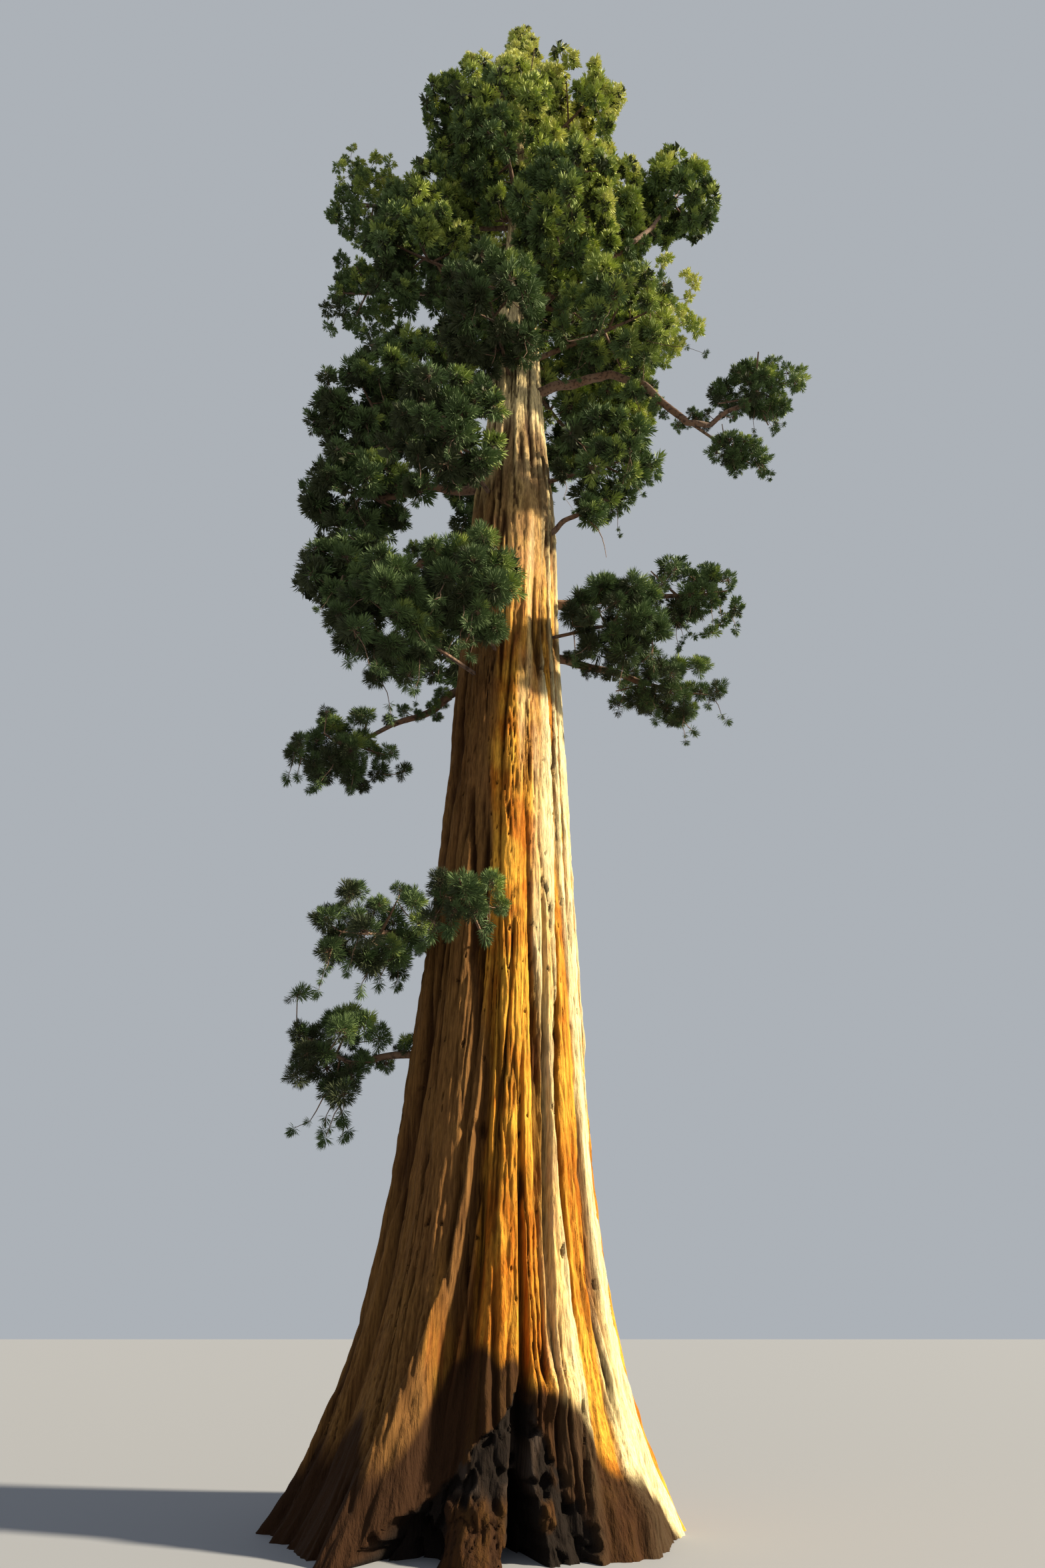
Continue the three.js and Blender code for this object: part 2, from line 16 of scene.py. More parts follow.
import bpy
import numpy as np
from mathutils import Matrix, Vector


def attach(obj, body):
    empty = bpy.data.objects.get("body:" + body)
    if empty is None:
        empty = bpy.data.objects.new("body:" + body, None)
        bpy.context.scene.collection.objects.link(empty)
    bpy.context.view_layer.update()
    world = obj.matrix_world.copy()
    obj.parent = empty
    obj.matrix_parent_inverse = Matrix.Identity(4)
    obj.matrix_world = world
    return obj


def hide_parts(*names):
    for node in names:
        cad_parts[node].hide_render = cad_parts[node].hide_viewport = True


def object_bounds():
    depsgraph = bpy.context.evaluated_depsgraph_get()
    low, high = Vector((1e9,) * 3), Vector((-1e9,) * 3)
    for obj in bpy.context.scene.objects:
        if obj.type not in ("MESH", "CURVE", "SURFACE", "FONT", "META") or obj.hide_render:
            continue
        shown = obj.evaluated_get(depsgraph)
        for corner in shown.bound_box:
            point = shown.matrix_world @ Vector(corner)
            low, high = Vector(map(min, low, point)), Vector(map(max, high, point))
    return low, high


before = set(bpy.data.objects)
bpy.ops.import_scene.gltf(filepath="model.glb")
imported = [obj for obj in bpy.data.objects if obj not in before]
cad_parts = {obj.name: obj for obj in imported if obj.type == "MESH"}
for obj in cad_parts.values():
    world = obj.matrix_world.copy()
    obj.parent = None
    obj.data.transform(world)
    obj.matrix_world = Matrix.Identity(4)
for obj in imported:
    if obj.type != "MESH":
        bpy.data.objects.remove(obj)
CAD_BOX = [list(corner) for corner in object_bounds()]

BODY = "root"
# The height at which the trunk's taper and lean would end
TREE_HEIGHT = 40.0
# Needles may stand this share of each side proud of the solids' box
PROUD_SHARE = 0.025
GOLDEN_ANGLE = math.pi * (3 - math.sqrt(5))
# A piece of needles stays under this many faces
MOST_TRIANGLES = 190_000
# The sun of the photograph stands to the right, a little towards the camera
SUN_AZIMUTH = -12.0
SUN_HEIGHT = 32.0

log = logging.getLogger("sequoia")


def linear(hex_code: str) -> tuple[float, float, float, float]:
    """Turns an sRGB hex colour to linear.

    Args:
        hex_code: the colour as "#rrggbb".

    Returns:
        Red, green, blue and an alpha of 1.
    """
    shares = [int(hex_code[i : i + 2], 16) / 255 for i in (1, 3, 5)]
    red, green, blue = (s / 12.92 if s <= 0.04045 else ((s + 0.055) / 1.055) ** 2.4 for s in shares)
    return red, green, blue, 1.0


def add_node(
    tree: bpy.types.NodeTree, kind: str, inputs: dict | None = None, **settings: Any
) -> bpy.types.Node:
    """Adds a node with its settings and links.

    Args:
        tree: the tree that gets the node.
        kind: the node's type name.
        inputs: for an input's name or number, the socket that feeds it, several such sockets, or a value.
        settings: the node's own settings by name.

    Returns:
        The new node.
    """
    node = tree.nodes.new(kind)
    for name, value in settings.items():
        setattr(node, name, value)
    for key, value in (inputs or {}).items():
        for feed in value if isinstance(value, list) else [value]:
            if isinstance(feed, bpy.types.NodeSocket):
                tree.links.new(feed, node.inputs[key])
            else:
                node.inputs[key].default_value = feed
    return node


def direction(azimuth: Any, rise: Any = 0.0) -> np.ndarray:
    """Unit vectors that point a given way.

    Args:
        azimuth: the turn from +X in radians, one or many.
        rise: the angle above level in radians, one or many.

    Returns:
        The vectors, with x, y and z along the last axis.
    """
    flat = np.cos(rise)
    parts = np.broadcast_arrays(flat * np.cos(azimuth), flat * np.sin(azimuth), np.sin(rise))
    return np.stack(parts, axis=-1)


def place(azimuth: float, reach: float, height: float) -> np.ndarray:
    """A place given by its azimuth in degrees, its reach from the upright axis and its height."""
    return direction(math.radians(azimuth)) * reach + np.array([0.0, 0.0, height])


def unit(vectors: np.ndarray) -> np.ndarray:
    """Vectors brought to length 1, along their last axis."""
    return vectors / np.maximum(np.linalg.norm(vectors, axis=-1, keepdims=True), 1e-9)


def turned_from(azimuth: np.ndarray, at: Any) -> np.ndarray:
    """How far azimuths are from another, in degrees between -180 and 180."""
    return (azimuth - at + 180) % 360 - 180


def smooth(low: float, high: float, value: np.ndarray) -> np.ndarray:
    """A soft step from 0 below low to 1 above high."""
    share = np.clip((value - low) / (high - low), 0, 1)
    return share * share * (3 - 2 * share)


def frame_round(axis: np.ndarray) -> tuple[np.ndarray, np.ndarray]:
    """Two unit vectors square to an axis and to each other.

    Args:
        axis: a unit vector.

    Returns:
        The two vectors.
    """
    helper = np.array([0.0, 1.0, 0.0]) if abs(axis[2]) > 0.9 else np.array([0.0, 0.0, 1.0])
    side = unit(np.cross(helper, axis))
    return side, np.cross(axis, side)


def golden_cap(axis: np.ndarray, count: int, lowest: float, turn: float) -> np.ndarray:
    """Directions spread evenly over a cap round an axis, by the golden angle.

    Args:
        axis: the cap's middle, a unit vector.
        count: how many directions.
        lowest: the cosine of the cap's edge, -1 for a whole sphere.
        turn: where the first one stands, in radians.

    Returns:
        The directions as rows.
    """
    rise = 1 - (1 - lowest) * (np.arange(count) + 0.5) / count
    round_axis = np.sqrt(1 - rise**2)
    angle = turn + GOLDEN_ANGLE * np.arange(count)
    side, up = frame_round(axis)
    return (
        rise[:, None] * axis
        + (round_axis * np.cos(angle))[:, None] * side
        + (round_axis * np.sin(angle))[:, None] * up
    )


class GradientNoise:
    """Smooth noise in space, the same on every run."""

    def __init__(self, seed: int) -> None:
        """Draws the lattice's gradients.

        Args:
            seed: what the gradients are drawn from.
        """
        random = np.random.default_rng(seed)
        self.order = np.tile(random.permutation(256), 2)
        self.gradients = unit(random.normal(size=(256, 3)))

    def __call__(self, points: np.ndarray) -> np.ndarray:
        """The noise at points.

        Args:
            points: places in units of the noise's grain, with x, y and z along the last axis.

        Returns:
            One value for each point, mostly between -0.6 and 0.6, and 0 on average.
        """
        cell = np.floor(points).astype(int)
        inside = points - cell
        ease = inside**3 * (inside * (inside * 6 - 15) + 10)
        total = np.zeros(points.shape[:-1])
        for corner in np.ndindex(2, 2, 2):
            at = (cell + corner) & 255
            index = self.order[self.order[self.order[at[..., 0]] + at[..., 1]] + at[..., 2]]
            dots = np.einsum("...i,...i->...", self.gradients[index], inside - corner)
            weights = np.where(np.array(corner) == 1, ease, 1 - ease)
            total += dots * weights.prod(axis=-1)
        return total * 1.6


def mesh_object(
    name: str,
    points: np.ndarray,
    faces: list,
    material: bpy.types.Material,
    values: dict[str, np.ndarray] | None = None,
) -> bpy.types.Object:
    """Makes a smooth mesh object and links it to the scene.

    Args:
        name: the piece's name.
        points: the corners as rows.
        faces: the corners of each face.
        material: its finish.
        values: named numbers, one for each corner, that the finish reads.

    Returns:
        The object.
    """
    mesh = bpy.data.meshes.new(name)
    mesh.from_pydata(points.tolist(), [], faces)
    mesh.materials.append(material)
    mesh.polygons.foreach_set("use_smooth", [True] * len(faces))
    for key, numbers in (values or {}).items():
        mesh.attributes.new(key, "FLOAT", "POINT").data.foreach_set("value", numbers.astype(np.float32))
    made = bpy.data.objects.new(name, mesh)
    bpy.context.scene.collection.objects.link(made)
    return made


def belongs(piece: bpy.types.Object, nodes: list[str]) -> None:
    """Ties a finished piece to the tree.

    Args:
        piece: the piece.
        nodes: the solids that it stands for.
    """
    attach(piece, BODY)
    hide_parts(*nodes)
    log.info("%s: %d faces", piece.name, len(piece.data.polygons))


@dataclass
class NodeRule:
    """A Geometry Nodes tree with named inputs, run once on an object."""

    name: str
    inputs: dict[str, str]
    tree: bpy.types.NodeTree = field(init=False)
    start: bpy.types.Node = field(init=False)

    def __post_init__(self) -> None:
        """Starts the tree with its named inputs."""
        self.tree = bpy.data.node_groups.new(self.name, "GeometryNodeTree")
        self.tree.interface.new_socket("Geometry", in_out="INPUT", socket_type="NodeSocketGeometry")
        for name, kind in self.inputs.items():
            self.tree.interface.new_socket(name, in_out="INPUT", socket_type=f"NodeSocket{kind}")
        self.tree.interface.new_socket("Geometry", in_out="OUTPUT", socket_type="NodeSocketGeometry")
        self.start = add_node(self.tree, "NodeGroupInput")

    def close(self, shape: bpy.types.NodeSocket) -> None:
        """Ends the tree: instances made real, then the material set.

        Args:
            shape: the socket with the finished geometry.
        """
        real = add_node(self.tree, "GeometryNodeRealizeInstances", {"Geometry": shape})
        dressed = add_node(
            self.tree,
            "GeometryNodeSetMaterial",
            {"Geometry": real.outputs[0], "Material": self.start.outputs["Material"]},
        )
        add_node(self.tree, "NodeGroupOutput", {"Geometry": dressed.outputs[0]})

    def run(self, name: str, source: bpy.types.Object, values: dict[str, Any]) -> bpy.types.Object:
        """Runs the tree on an object and keeps the result as a plain mesh.

        Args:
            name: the new piece's name.
            source: the object that the tree works on, removed afterwards.
            values: a value for each named input.

        Returns:
            The new piece, with no modifier.
        """
        modifier = source.modifiers.new(self.name, "NODES")
        modifier.node_group = self.tree
        for socket in self.tree.interface.items_tree:
            if socket.name in values:
                modifier[socket.identifier] = values[socket.name]
        evaluated = source.evaluated_get(bpy.context.evaluated_depsgraph_get())
        mesh = bpy.data.meshes.new_from_object(evaluated)
        mesh.name = name
        bpy.data.objects.remove(source)
        made = bpy.data.objects.new(name, mesh)
        bpy.context.scene.collection.objects.link(made)
        return made


def principled(
    name: str, roughness: float, specular: float = 0.5
) -> tuple[bpy.types.Material, bpy.types.NodeTree, bpy.types.Node]:
    """Starts a material.

    Args:
        name: its name.
        roughness: how matt it is.
        specular: how much gloss it has.

    Returns:
        The material, its node tree and its shader.
    """
    material = bpy.data.materials.new(name)
    material.use_nodes = True
    shader = material.node_tree.nodes["Principled BSDF"]
    shader.inputs["Roughness"].default_value = roughness
    shader.inputs["Specular IOR Level"].default_value = specular
    return material, material.node_tree, shader


def mix(tree: bpy.types.NodeTree, share: Any, first: Any, second: Any) -> bpy.types.NodeSocket:
    """The socket of a colour between two others, by a share."""
    node = add_node(tree, "ShaderNodeMix", {0: share, 6: first, 7: second}, data_type="RGBA")
    return node.outputs[2]


@dataclass(frozen=True)
class BarkFinish:
    """Sequoia bark, spongy and fibrous: matt and cinnamon on the ridges, with painted shade near black deep
    in the furrows.
    """

    cinnamon: str = "#bc6e1c"
    golden: str = "#e8a83c"
    # Painted shade, near black, in the furrows, fissures, cracks and holes and between the fibres
    furrow: str = "#2c1606"
    # Weathered bark under painted shade, on the flank away from the sun and under the crown
    grey: str = "#74532f"
    # Paler bark higher up, and a painted highlight on the ridge tops that face the sun
    pale: str = "#f8ecb8"
    # Scorched bark at the foot, darkened further by a painted shadow
    scorched_painted_shadow: str = "#2e1c0f"
    char: str = "#17120f"
    bare_wood: str = "#453a33"
    # Fibres are a few millimetres apart on the real tree; drawn coarser so that they show
    fibre_spacing: float = 0.016
    fibre_stretch: float = 11.0
    patch_spacing: float = 0.5
    roughness: float = 0.93
    # Loose fibre scatters light: hardly any gloss, so that charred places stay dark
    specular: float = 0.12
    bump_height: float = 0.014
    strand_height: float = 0.045

    def material(self) -> bpy.types.Material:
        """Builds the finish, which reads what the mesh says of each place.

        Returns:
            The material.
        """
        made, tree, shader = principled("fibrous_bark", self.roughness, self.specular)
        made_at = add_node(tree, "ShaderNodeTexCoord").outputs["Object"]
        along = add_node(
            tree, "ShaderNodeMapping", {"Vector": made_at, "Scale": (1, 1, 1 / self.fibre_stretch)}
        ).outputs[0]
        fibres = add_node(
            tree,
            "ShaderNodeTexNoise",
            {"Vector": along, "Scale": 1 / self.fibre_spacing, "Detail": 4.0, "Roughness": 0.65},
        ).outputs["Fac"]
        strands = add_node(
            tree, "ShaderNodeTexNoise", {"Vector": along, "Scale": 0.2 / self.fibre_spacing, "Detail": 3.0}
        ).outputs["Fac"]
        patches = add_node(
            tree, "ShaderNodeTexNoise", {"Vector": made_at, "Scale": 1 / self.patch_spacing, "Detail": 5.0}
        ).outputs["Fac"]
        read = {
            key: add_node(tree, "ShaderNodeAttribute", attribute_name=key).outputs["Fac"]
            for key in ("furrow", "char", "scorch", "bare", "weather", "pale")
        }
        spread = add_node(
            tree, "ShaderNodeMapRange", {0: patches, 1: 0.35, 2: 0.65}, interpolation_type="SMOOTHSTEP"
        ).outputs[0]
        lively = add_node(tree, "ShaderNodeMapRange", {0: strands, 1: 0.3, 2: 0.7}).outputs[0]
        both = add_node(tree, "ShaderNodeMath", {0: spread, 1: lively}, operation="ADD").outputs[0]
        streaks = add_node(tree, "ShaderNodeMapRange", {0: both, 1: 0.4, 2: 1.5}).outputs[0]
        colour = mix(tree, streaks, linear(self.cinnamon), linear(self.golden))
        colour = mix(tree, read["pale"], colour, linear(self.pale))
        colour = mix(tree, read["weather"], colour, linear(self.grey))
        # Painted shade between the fibres, darker where the bump sinks
        shade = add_node(
            tree, "ShaderNodeMapRange", {0: fibres, 1: 0.35, 2: 0.62, 3: 0.55, 4: 0.0}
        ).outputs[0]
        colour = mix(tree, shade, colour, linear(self.furrow))
        colour = mix(tree, read["furrow"], colour, linear(self.furrow))
        colour = mix(tree, read["scorch"], colour, linear(self.scorched_painted_shadow))
        colour = mix(tree, read["bare"], colour, linear(self.bare_wood))
        colour = mix(tree, read["char"], colour, linear(self.char))
        tree.links.new(colour, shader.inputs["Base Color"])
        coarse = add_node(
            tree, "ShaderNodeBump", {"Height": strands, "Distance": self.strand_height}
        ).outputs[0]
        relief = add_node(
            tree, "ShaderNodeBump", {"Height": fibres, "Distance": self.bump_height, "Normal": coarse}
        ).outputs[0]
        tree.links.new(relief, shader.inputs["Normal"])
        return made


@dataclass(frozen=True)
class LimbFinish:
    """The rough grey-brown bark of boughs and twigs, thinner and flakier than the trunk's."""

    name: str
    brown: str = "#67432d"
    grey: str = "#7b6654"
    dark: str = "#2d1d16"
    flake_spacing: float = 0.05
    roughness: float = 0.9
    bump_height: float = 0.004

    def material(self) -> bpy.types.Material:
        """Builds the finish on Object coordinates.

        Returns:
            The material.
        """
        made, tree, shader = principled(self.name, self.roughness)
        made_at = add_node(tree, "ShaderNodeTexCoord").outputs["Object"]
        flakes = add_node(
            tree, "ShaderNodeTexNoise", {"Vector": made_at, "Scale": 1 / self.flake_spacing, "Detail": 5.0}
        ).outputs["Fac"]
        patches = add_node(
            tree, "ShaderNodeTexNoise", {"Vector": made_at, "Scale": 0.15 / self.flake_spacing, "Detail": 2.0}
        ).outputs["Fac"]
        colour = mix(tree, patches, linear(self.brown), linear(self.grey))
        cracks = add_node(tree, "ShaderNodeMapRange", {0: flakes, 1: 0.5, 2: 0.35, 3: 0.0, 4: 0.8}).outputs[0]
        colour = mix(tree, cracks, colour, linear(self.dark))
        tree.links.new(colour, shader.inputs["Base Color"])
        relief = add_node(tree, "ShaderNodeBump", {"Height": flakes, "Distance": self.bump_height}).outputs[0]
        tree.links.new(relief, shader.inputs["Normal"])
        return made


@dataclass(frozen=True)
class PlainFinish:
    """A colour with no pattern, for what is dealt out piece by piece or only stands behind."""

    name: str
    colour: str
    roughness: float = 0.78
    specular: float = 0.3

    def material(self) -> bpy.types.Material:
        """Builds the finish.

        Returns:
            The material.
        """
        made, _, shader = principled(self.name, self.roughness, self.specular)
        shader.inputs["Base Color"].default_value = linear(self.colour)
        return made


class Tint(Enum):
    """The greens of the needles, from the crown's shaded inside to the tips in the sun: lit and shaded copies
    of one green, which paint light and shade.
    """

    INNER = PlainFinish("inner", "#3a4229")
    SHADED = PlainFinish("shaded", "#4c6038")
    BLUE = PlainFinish("blue", "#5b7042")
    MIDDLE = PlainFinish("middle", "#83944a")
    FRESH = PlainFinish("fresh", "#a8b458")
    GOLDEN = PlainFinish("golden", "#c8ca76")

    @property
    def slot(self) -> str:
        """The record's slot for this green."""
        return "sunlit_foliage" if self in (Tint.FRESH, Tint.GOLDEN) else "shaded_foliage"


@dataclass(frozen=True)
class Buttress:
    """A swelling at the foot: where it stands, how far it pushes out and its half width in degrees."""

    at: float
    push: float
    spread: float


@dataclass(frozen=True)
class Crevice:
    """A furrow or groove followed up the trunk by height: its azimuth, half width in degrees and depth."""

    heights: tuple[float, ...]
    azimuths: tuple[float, ...]
    widths: tuple[float, ...]
    depths: tuple[float, ...]

    def depth(self, azimuth: np.ndarray, height: np.ndarray) -> np.ndarray:
        """How far it goes in.

        Args:
            azimuth: degrees round the trunk.
            height: metres above the ground, of the same shape.

        Returns:
            The depth at each place in metres, negative where it stands proud.
        """
        middle = np.interp(height, self.heights, self.azimuths)
        width = np.interp(height, self.heights, self.widths)
        apart = turned_from(azimuth, middle)
        depth = np.interp(height, self.heights, self.depths, left=self.depths[0], right=0.0)
        return depth * np.exp(-((apart / width) ** 4))


@dataclass(frozen=True)
class Cavity:
    """An arched hollow burnt into the foot: its azimuth, half width in degrees, height and depth."""

    at: float
    half_width: float
    height: float
    depth: float

    def share(self, azimuth: np.ndarray, height: np.ndarray) -> np.ndarray:
        """Where the hollow is.

        Args:
            azimuth: degrees round the trunk.
            height: metres above the ground, of the same shape.

        Returns:
            1 inside the arch, 0 outside, with a soft edge.
        """
        apart = np.abs(turned_from(azimuth, self.at))
        arch = self.half_width * np.sqrt(np.clip(1 - (height / self.height) ** 1.6, 0, 1))
        return smooth(1.2, -0.8, apart - arch) * (height < self.height)


class Grain(Enum):
    """The noises in the bark: seed, width of a grain in metres, and its height in widths."""

    SWAY = (3, 0.9, 2.2)
    WANDER = (26, 0.11, 1.8)
    TREMBLE = (31, 0.045, 1.5)
    RIDGES = (11, 0.24, 18)
    FURROW_DEPTH = (12, 0.6, 4.0)
    FISSURES = (27, 0.095, 15)
    FISSURE_DEPTH = (28, 0.3, 5.0)
    CRACKS = (13, 0.055, 13)
    CRACK_DEPTH = (21, 0.4, 3.5)
    STRANDS = (14, 0.038, 12)
    FLAKES = (22, 0.07, 2.6)
    HOLES = (23, 0.065, 1.5)
    RAGGED = (15, 0.12, 1.2)
    RAGGED_FINE = (24, 0.045, 1.2)
    PITS = (16, 0.085, 1.1)
    CHARRED = (25, 0.07, 3.0)
    SCALES = (29, 0.05, 2.0)
    BURN_DEPTH = (17, 0.2, 1.8)
    ISLAND_RELIEF = (30, 0.1, 1.2)
    BARE_WOOD = (18, 0.13, 2.5)
    SCORCH_EDGE = (19, 0.2, 2.6)
    WEATHER_EDGE = (20, 0.3, 4.0)
    UNDER_CROWN = (32, 0.3, 4.0)
    BLEACH_EDGE = (33, 0.2, 8.0)


@dataclass(frozen=True)
class Section:
    """A stretch of the trunk's mesh: where it starts, its columns and the rise of each of its rings."""

    name: str
    start: float
    columns: int
    ring: float


@dataclass
class Trunk:
    """The trunk: taper, lean, flare and scars of its solid, with the bark's relief."""

    height: float = 37.0
    lean: float = 0.32
    lean_curve: float = 0.6
    column_radius: float = 0.906
    column_taper: float = 1.44
    swelling: tuple[float, float, float] = (0.075, 11.2, 1.9)
    flare: tuple[float, float] = (0.5, 0.92)
    flutes: tuple[int, float, float] = (9, 0.022, 0.09)
    buttress_height: float = 0.78
    buttresses: tuple[Buttress, ...] = (
        Buttress(-172, 0.150, 20),
        Buttress(-132, 0.110, 14),
        Buttress(-94, 0.070, 10),
        Buttress(-48, 0.100, 15),
        Buttress(-8, 0.060, 16),
        Buttress(38, 0.090, 18),
        Buttress(84, 0.120, 17),
        Buttress(134, 0.090, 18),
    )
    crevices: tuple[Crevice, ...] = (
        # The broad groove left of the middle, and the cleft that runs down into the burnt hollow
        Crevice((0.4, 1.0, 1.6, 2.5, 3.4, 4.6), (-103, -101, -97, -95.5, -93, -92), (9, 8, 6, 4, 3, 2),
                (0.08, 0.13, 0.13, 0.11, 0.08, 0)),
        Crevice((0.35, 0.7, 0.9, 1.5, 2.5, 3.4), (-77, -76, -74, -74, -74.3, -73), (3, 2.4, 1.9, 1.7, 1.5, 1),
                (0.25, 0.22, 0.15, 0.11, 0.08, 0)),
        # Fissures to the right of the middle
        Crevice((0.9, 1.7, 2.5, 4.0, 5.4), (-62, -60.3, -57.7, -56.3, -56), (1.6, 1.8, 1.8, 1.6, 1),
                (0.03, 0.09, 0.09, 0.07, 0)),
        Crevice((0.9, 1.8, 3.3, 4.6), (-38, -34, -24, -18), (1.6, 2, 1.8, 1), (0.03, 0.08, 0.07, 0)),
        Crevice((0.2, 1.0, 2.4, 3.8), (-152, -150, -148, -147), (4, 4, 4, 2), (0.04, 0.07, 0.06, 0)),
        Crevice((0.2, 1.0, 2.2, 3.1), (12, 12.5, 13, 14), (4, 4, 4, 2), (0.04, 0.06, 0.05, 0)),
        Crevice((0.2, 1.2, 2.6, 4.2), (108, 107, 106, 105), (4, 4, 4, 2), (0.04, 0.07, 0.06, 0)),
        Crevice((0.3, 1.4, 3.0, 5.0), (62, 61, 60, 60), (2.5, 2.5, 2.5, 1.5), (0.04, 0.08, 0.07, 0)),
        Crevice((0.3, 1.4, 3.0, 5.0), (162, 161, 161, 160), (2.5, 2.5, 2.5, 1.5), (0.04, 0.08, 0.07, 0)),
        # Ridges left of the groove that stand proud and catch the light
        Crevice((0.2, 0.7, 1.0, 1.6, 2.6, 3.6), (-124, -119, -113, -105, -99.5, -97),
                (3.4, 3, 2.6, 2.2, 1.8, 1.4), (-0.05, -0.07, -0.07, -0.06, -0.05, 0)),
        Crevice((0.6, 1.0, 1.6, 2.4), (-104, -101, -97, -94), (1.4, 1.6, 1.5, 1.2), (0, -0.07, -0.08, 0)),
    )
    hollow: Cavity = Cavity(-76.8, 4.9, 0.40, 0.42)
    left_hollow: Cavity = Cavity(-108.5, 8.5, 0.21, 0.20)
    # The edges of the burnt ground round the hollow, by height
    burn_heights: tuple[float, ...] = (0.0, 0.19, 0.37, 0.51, 0.62, 0.80)
    burn_left: tuple[float, ...] = (-119, -110, -98.8, -93.4, -84, -78)
    burn_right: tuple[float, ...] = (-57, -57.2, -63, -68, -70.5, -74)
    burn_depth: float = 0.07
    # The flank away from the sun, whose bark is weathered and darkened by painted shade
    weather_side: float = -152.0
    # The side facing the sun, whose ridge tops carry a painted highlight
    painted_highlight_side: float = -22.0
    # How high the scorched bark and the painted shadow over it reach round the foot
    scorch_azimuths: tuple[float, ...] = (
        -180, -160, -138, -126, -117, -104, -96, -80, -66, -54, -40, -26, -8, 150, 180
    )
    scorch_heights: tuple[float, ...] = (
        0.35, 0.50, 0.66, 0.50, 0.46, 0.95, 1.02, 1.0, 0.84, 0.62, 0.42, 0.22, -0.2, -0.2, 0.35
    )
    # Bark that outlived the fire: azimuth, half width in degrees, foot, top
    islands: tuple[tuple[float, float, float, float], ...] = (
        (-90.0, 9.6, -0.1, 0.29),
        (-68.5, 2.6, 0.14, 0.29),
    )
    # Swellings of the bark, and where a limb broke off: azimuth, height, half sizes in degrees and
    # metres, push
    knobs: tuple[tuple[float, float, float, float, float], ...] = (
        (-64.0, 0.80, 6.5, 0.13, 0.085),
        (-41.0, 0.20, 7.0, 0.12, 0.070),
        (-98.3, 2.49, 2.6, 0.055, -0.070),
        (-99.5, 2.56, 2.2, 0.045, 0.035),
    )
    grain_radius: float = 1.25
    # How deep each kind of relief goes
    ridge_depth: float = 0.095
    fissure_depth: float = 0.040
    crack_depth: float = 0.016
    plate_depth: float = 0.036
    strand_depth: float = 0.010
    flake_depth: float = 0.012
    pit_depth: float = 0.055
    charred_depth: float = 0.014
    scale_depth: float = 0.018
    hole_depth: float = 0.035
    island_depth: float = 0.02
    # Painted shade on the bark under the crown: where it starts and is full from below, then from above
    under_crown: tuple[float, float, float, float] = (9.6, 10.6, 13.9, 13.1)
    sections: tuple[Section, ...] = (
        Section("trunk_foot", 0.0, 720, 0.0125),
        Section("trunk_lower", 1.55, 720, 0.0225),
        Section("trunk_bare", 4.3, 360, 0.036),
        Section("trunk_middle", 9.5, 180, 0.06),
        Section("trunk_upper", 20.0, 90, 0.12),
    )
    finish: BarkFinish = BarkFinish()

    def axis(self, height: Any) -> Any:
        """How far the axis leans towards +X at a height."""
        return self.lean * (np.maximum(height, 0) / TREE_HEIGHT) ** self.lean_curve

    def mean_radius(self, height: Any) -> Any:
        """The mean radius: column, swelling and flare.

        Args:
            height: metres above the ground, one or many.

        Returns:
            The radius at each height.
        """
        push, middle, reach = self.swelling
        column = self.column_radius * (1 - height / TREE_HEIGHT) ** self.column_taper
        return (
            column
            + push * np.exp(-(((height - middle) / reach) ** 2))
            + self.flare[0] * np.exp(-height / self.flare[1])
        )

    def form_radius(self, azimuth: np.ndarray, height: np.ndarray) -> np.ndarray:
        """The radius with flutes and buttresses.

        Args:
            azimuth: degrees round the trunk.
            height: metres above the ground, of the same shape.

        Returns:
            The radius at each place, before any relief.
        """
        mean = self.mean_radius(height)
        count, share, turn = self.flutes
        flutes = mean * share * np.cos(count * (np.radians(azimuth) + turn * height / 1000))
        fade = np.exp(-height / self.buttress_height)
        for buttress in self.buttresses:
            apart = turned_from(azimuth, buttress.at)
            mean = mean + buttress.push * np.exp(-((apart / buttress.spread) ** 2)) * fade
        return mean + flutes

    def burn(self, azimuth: np.ndarray, height: np.ndarray, waver: np.ndarray) -> np.ndarray:
        """Where the fire charred the foot.

        Args:
            azimuth: degrees round the trunk.
            height: metres above the ground, of the same shape.
            waver: noise that makes the edge ragged.

        Returns:
            1 on the burnt ground, 0 elsewhere.
        """
        left = np.interp(height, self.burn_heights, self.burn_left)
        right = np.interp(height, self.burn_heights, self.burn_right)
        inside = np.minimum(azimuth - left, right - azimuth) + 4.0 * waver
        return smooth(-1.0, 1.4, inside) * (height < self.burn_heights[-1])

    def island(self, azimuth: np.ndarray, height: np.ndarray, waver: np.ndarray) -> np.ndarray:
        """Where blocks of bark stand in the burnt ground.

        Args:
            azimuth: degrees round the trunk.
            height: metres above the ground, of the same shape.
            waver: noise that makes the edge ragged.

        Returns:
            1 on the blocks, 0 elsewhere.
        """
        total = np.zeros_like(height)
        for middle, half, foot, top in self.islands:
            across = half - np.abs(azimuth - middle) + 1.8 * waver
            up = np.minimum(height - foot, top - height) * 40 + 2.5 * waver
            total = np.maximum(total, smooth(-0.9, 1.3, np.minimum(across, up)))
        return total

    def surface(self, azimuth: np.ndarray, height: np.ndarray) -> tuple[np.ndarray, dict[str, np.ndarray]]:
        """The bark's surface.

        Args:
            azimuth: degrees round the trunk.
            height: metres above the ground, of the same shape.

        Returns:
            The radius at each place, and what the finish reads there.
        """
        turn = np.radians(azimuth)
        thick = np.clip(self.mean_radius(height) / 0.95, 0.22, 1.1)

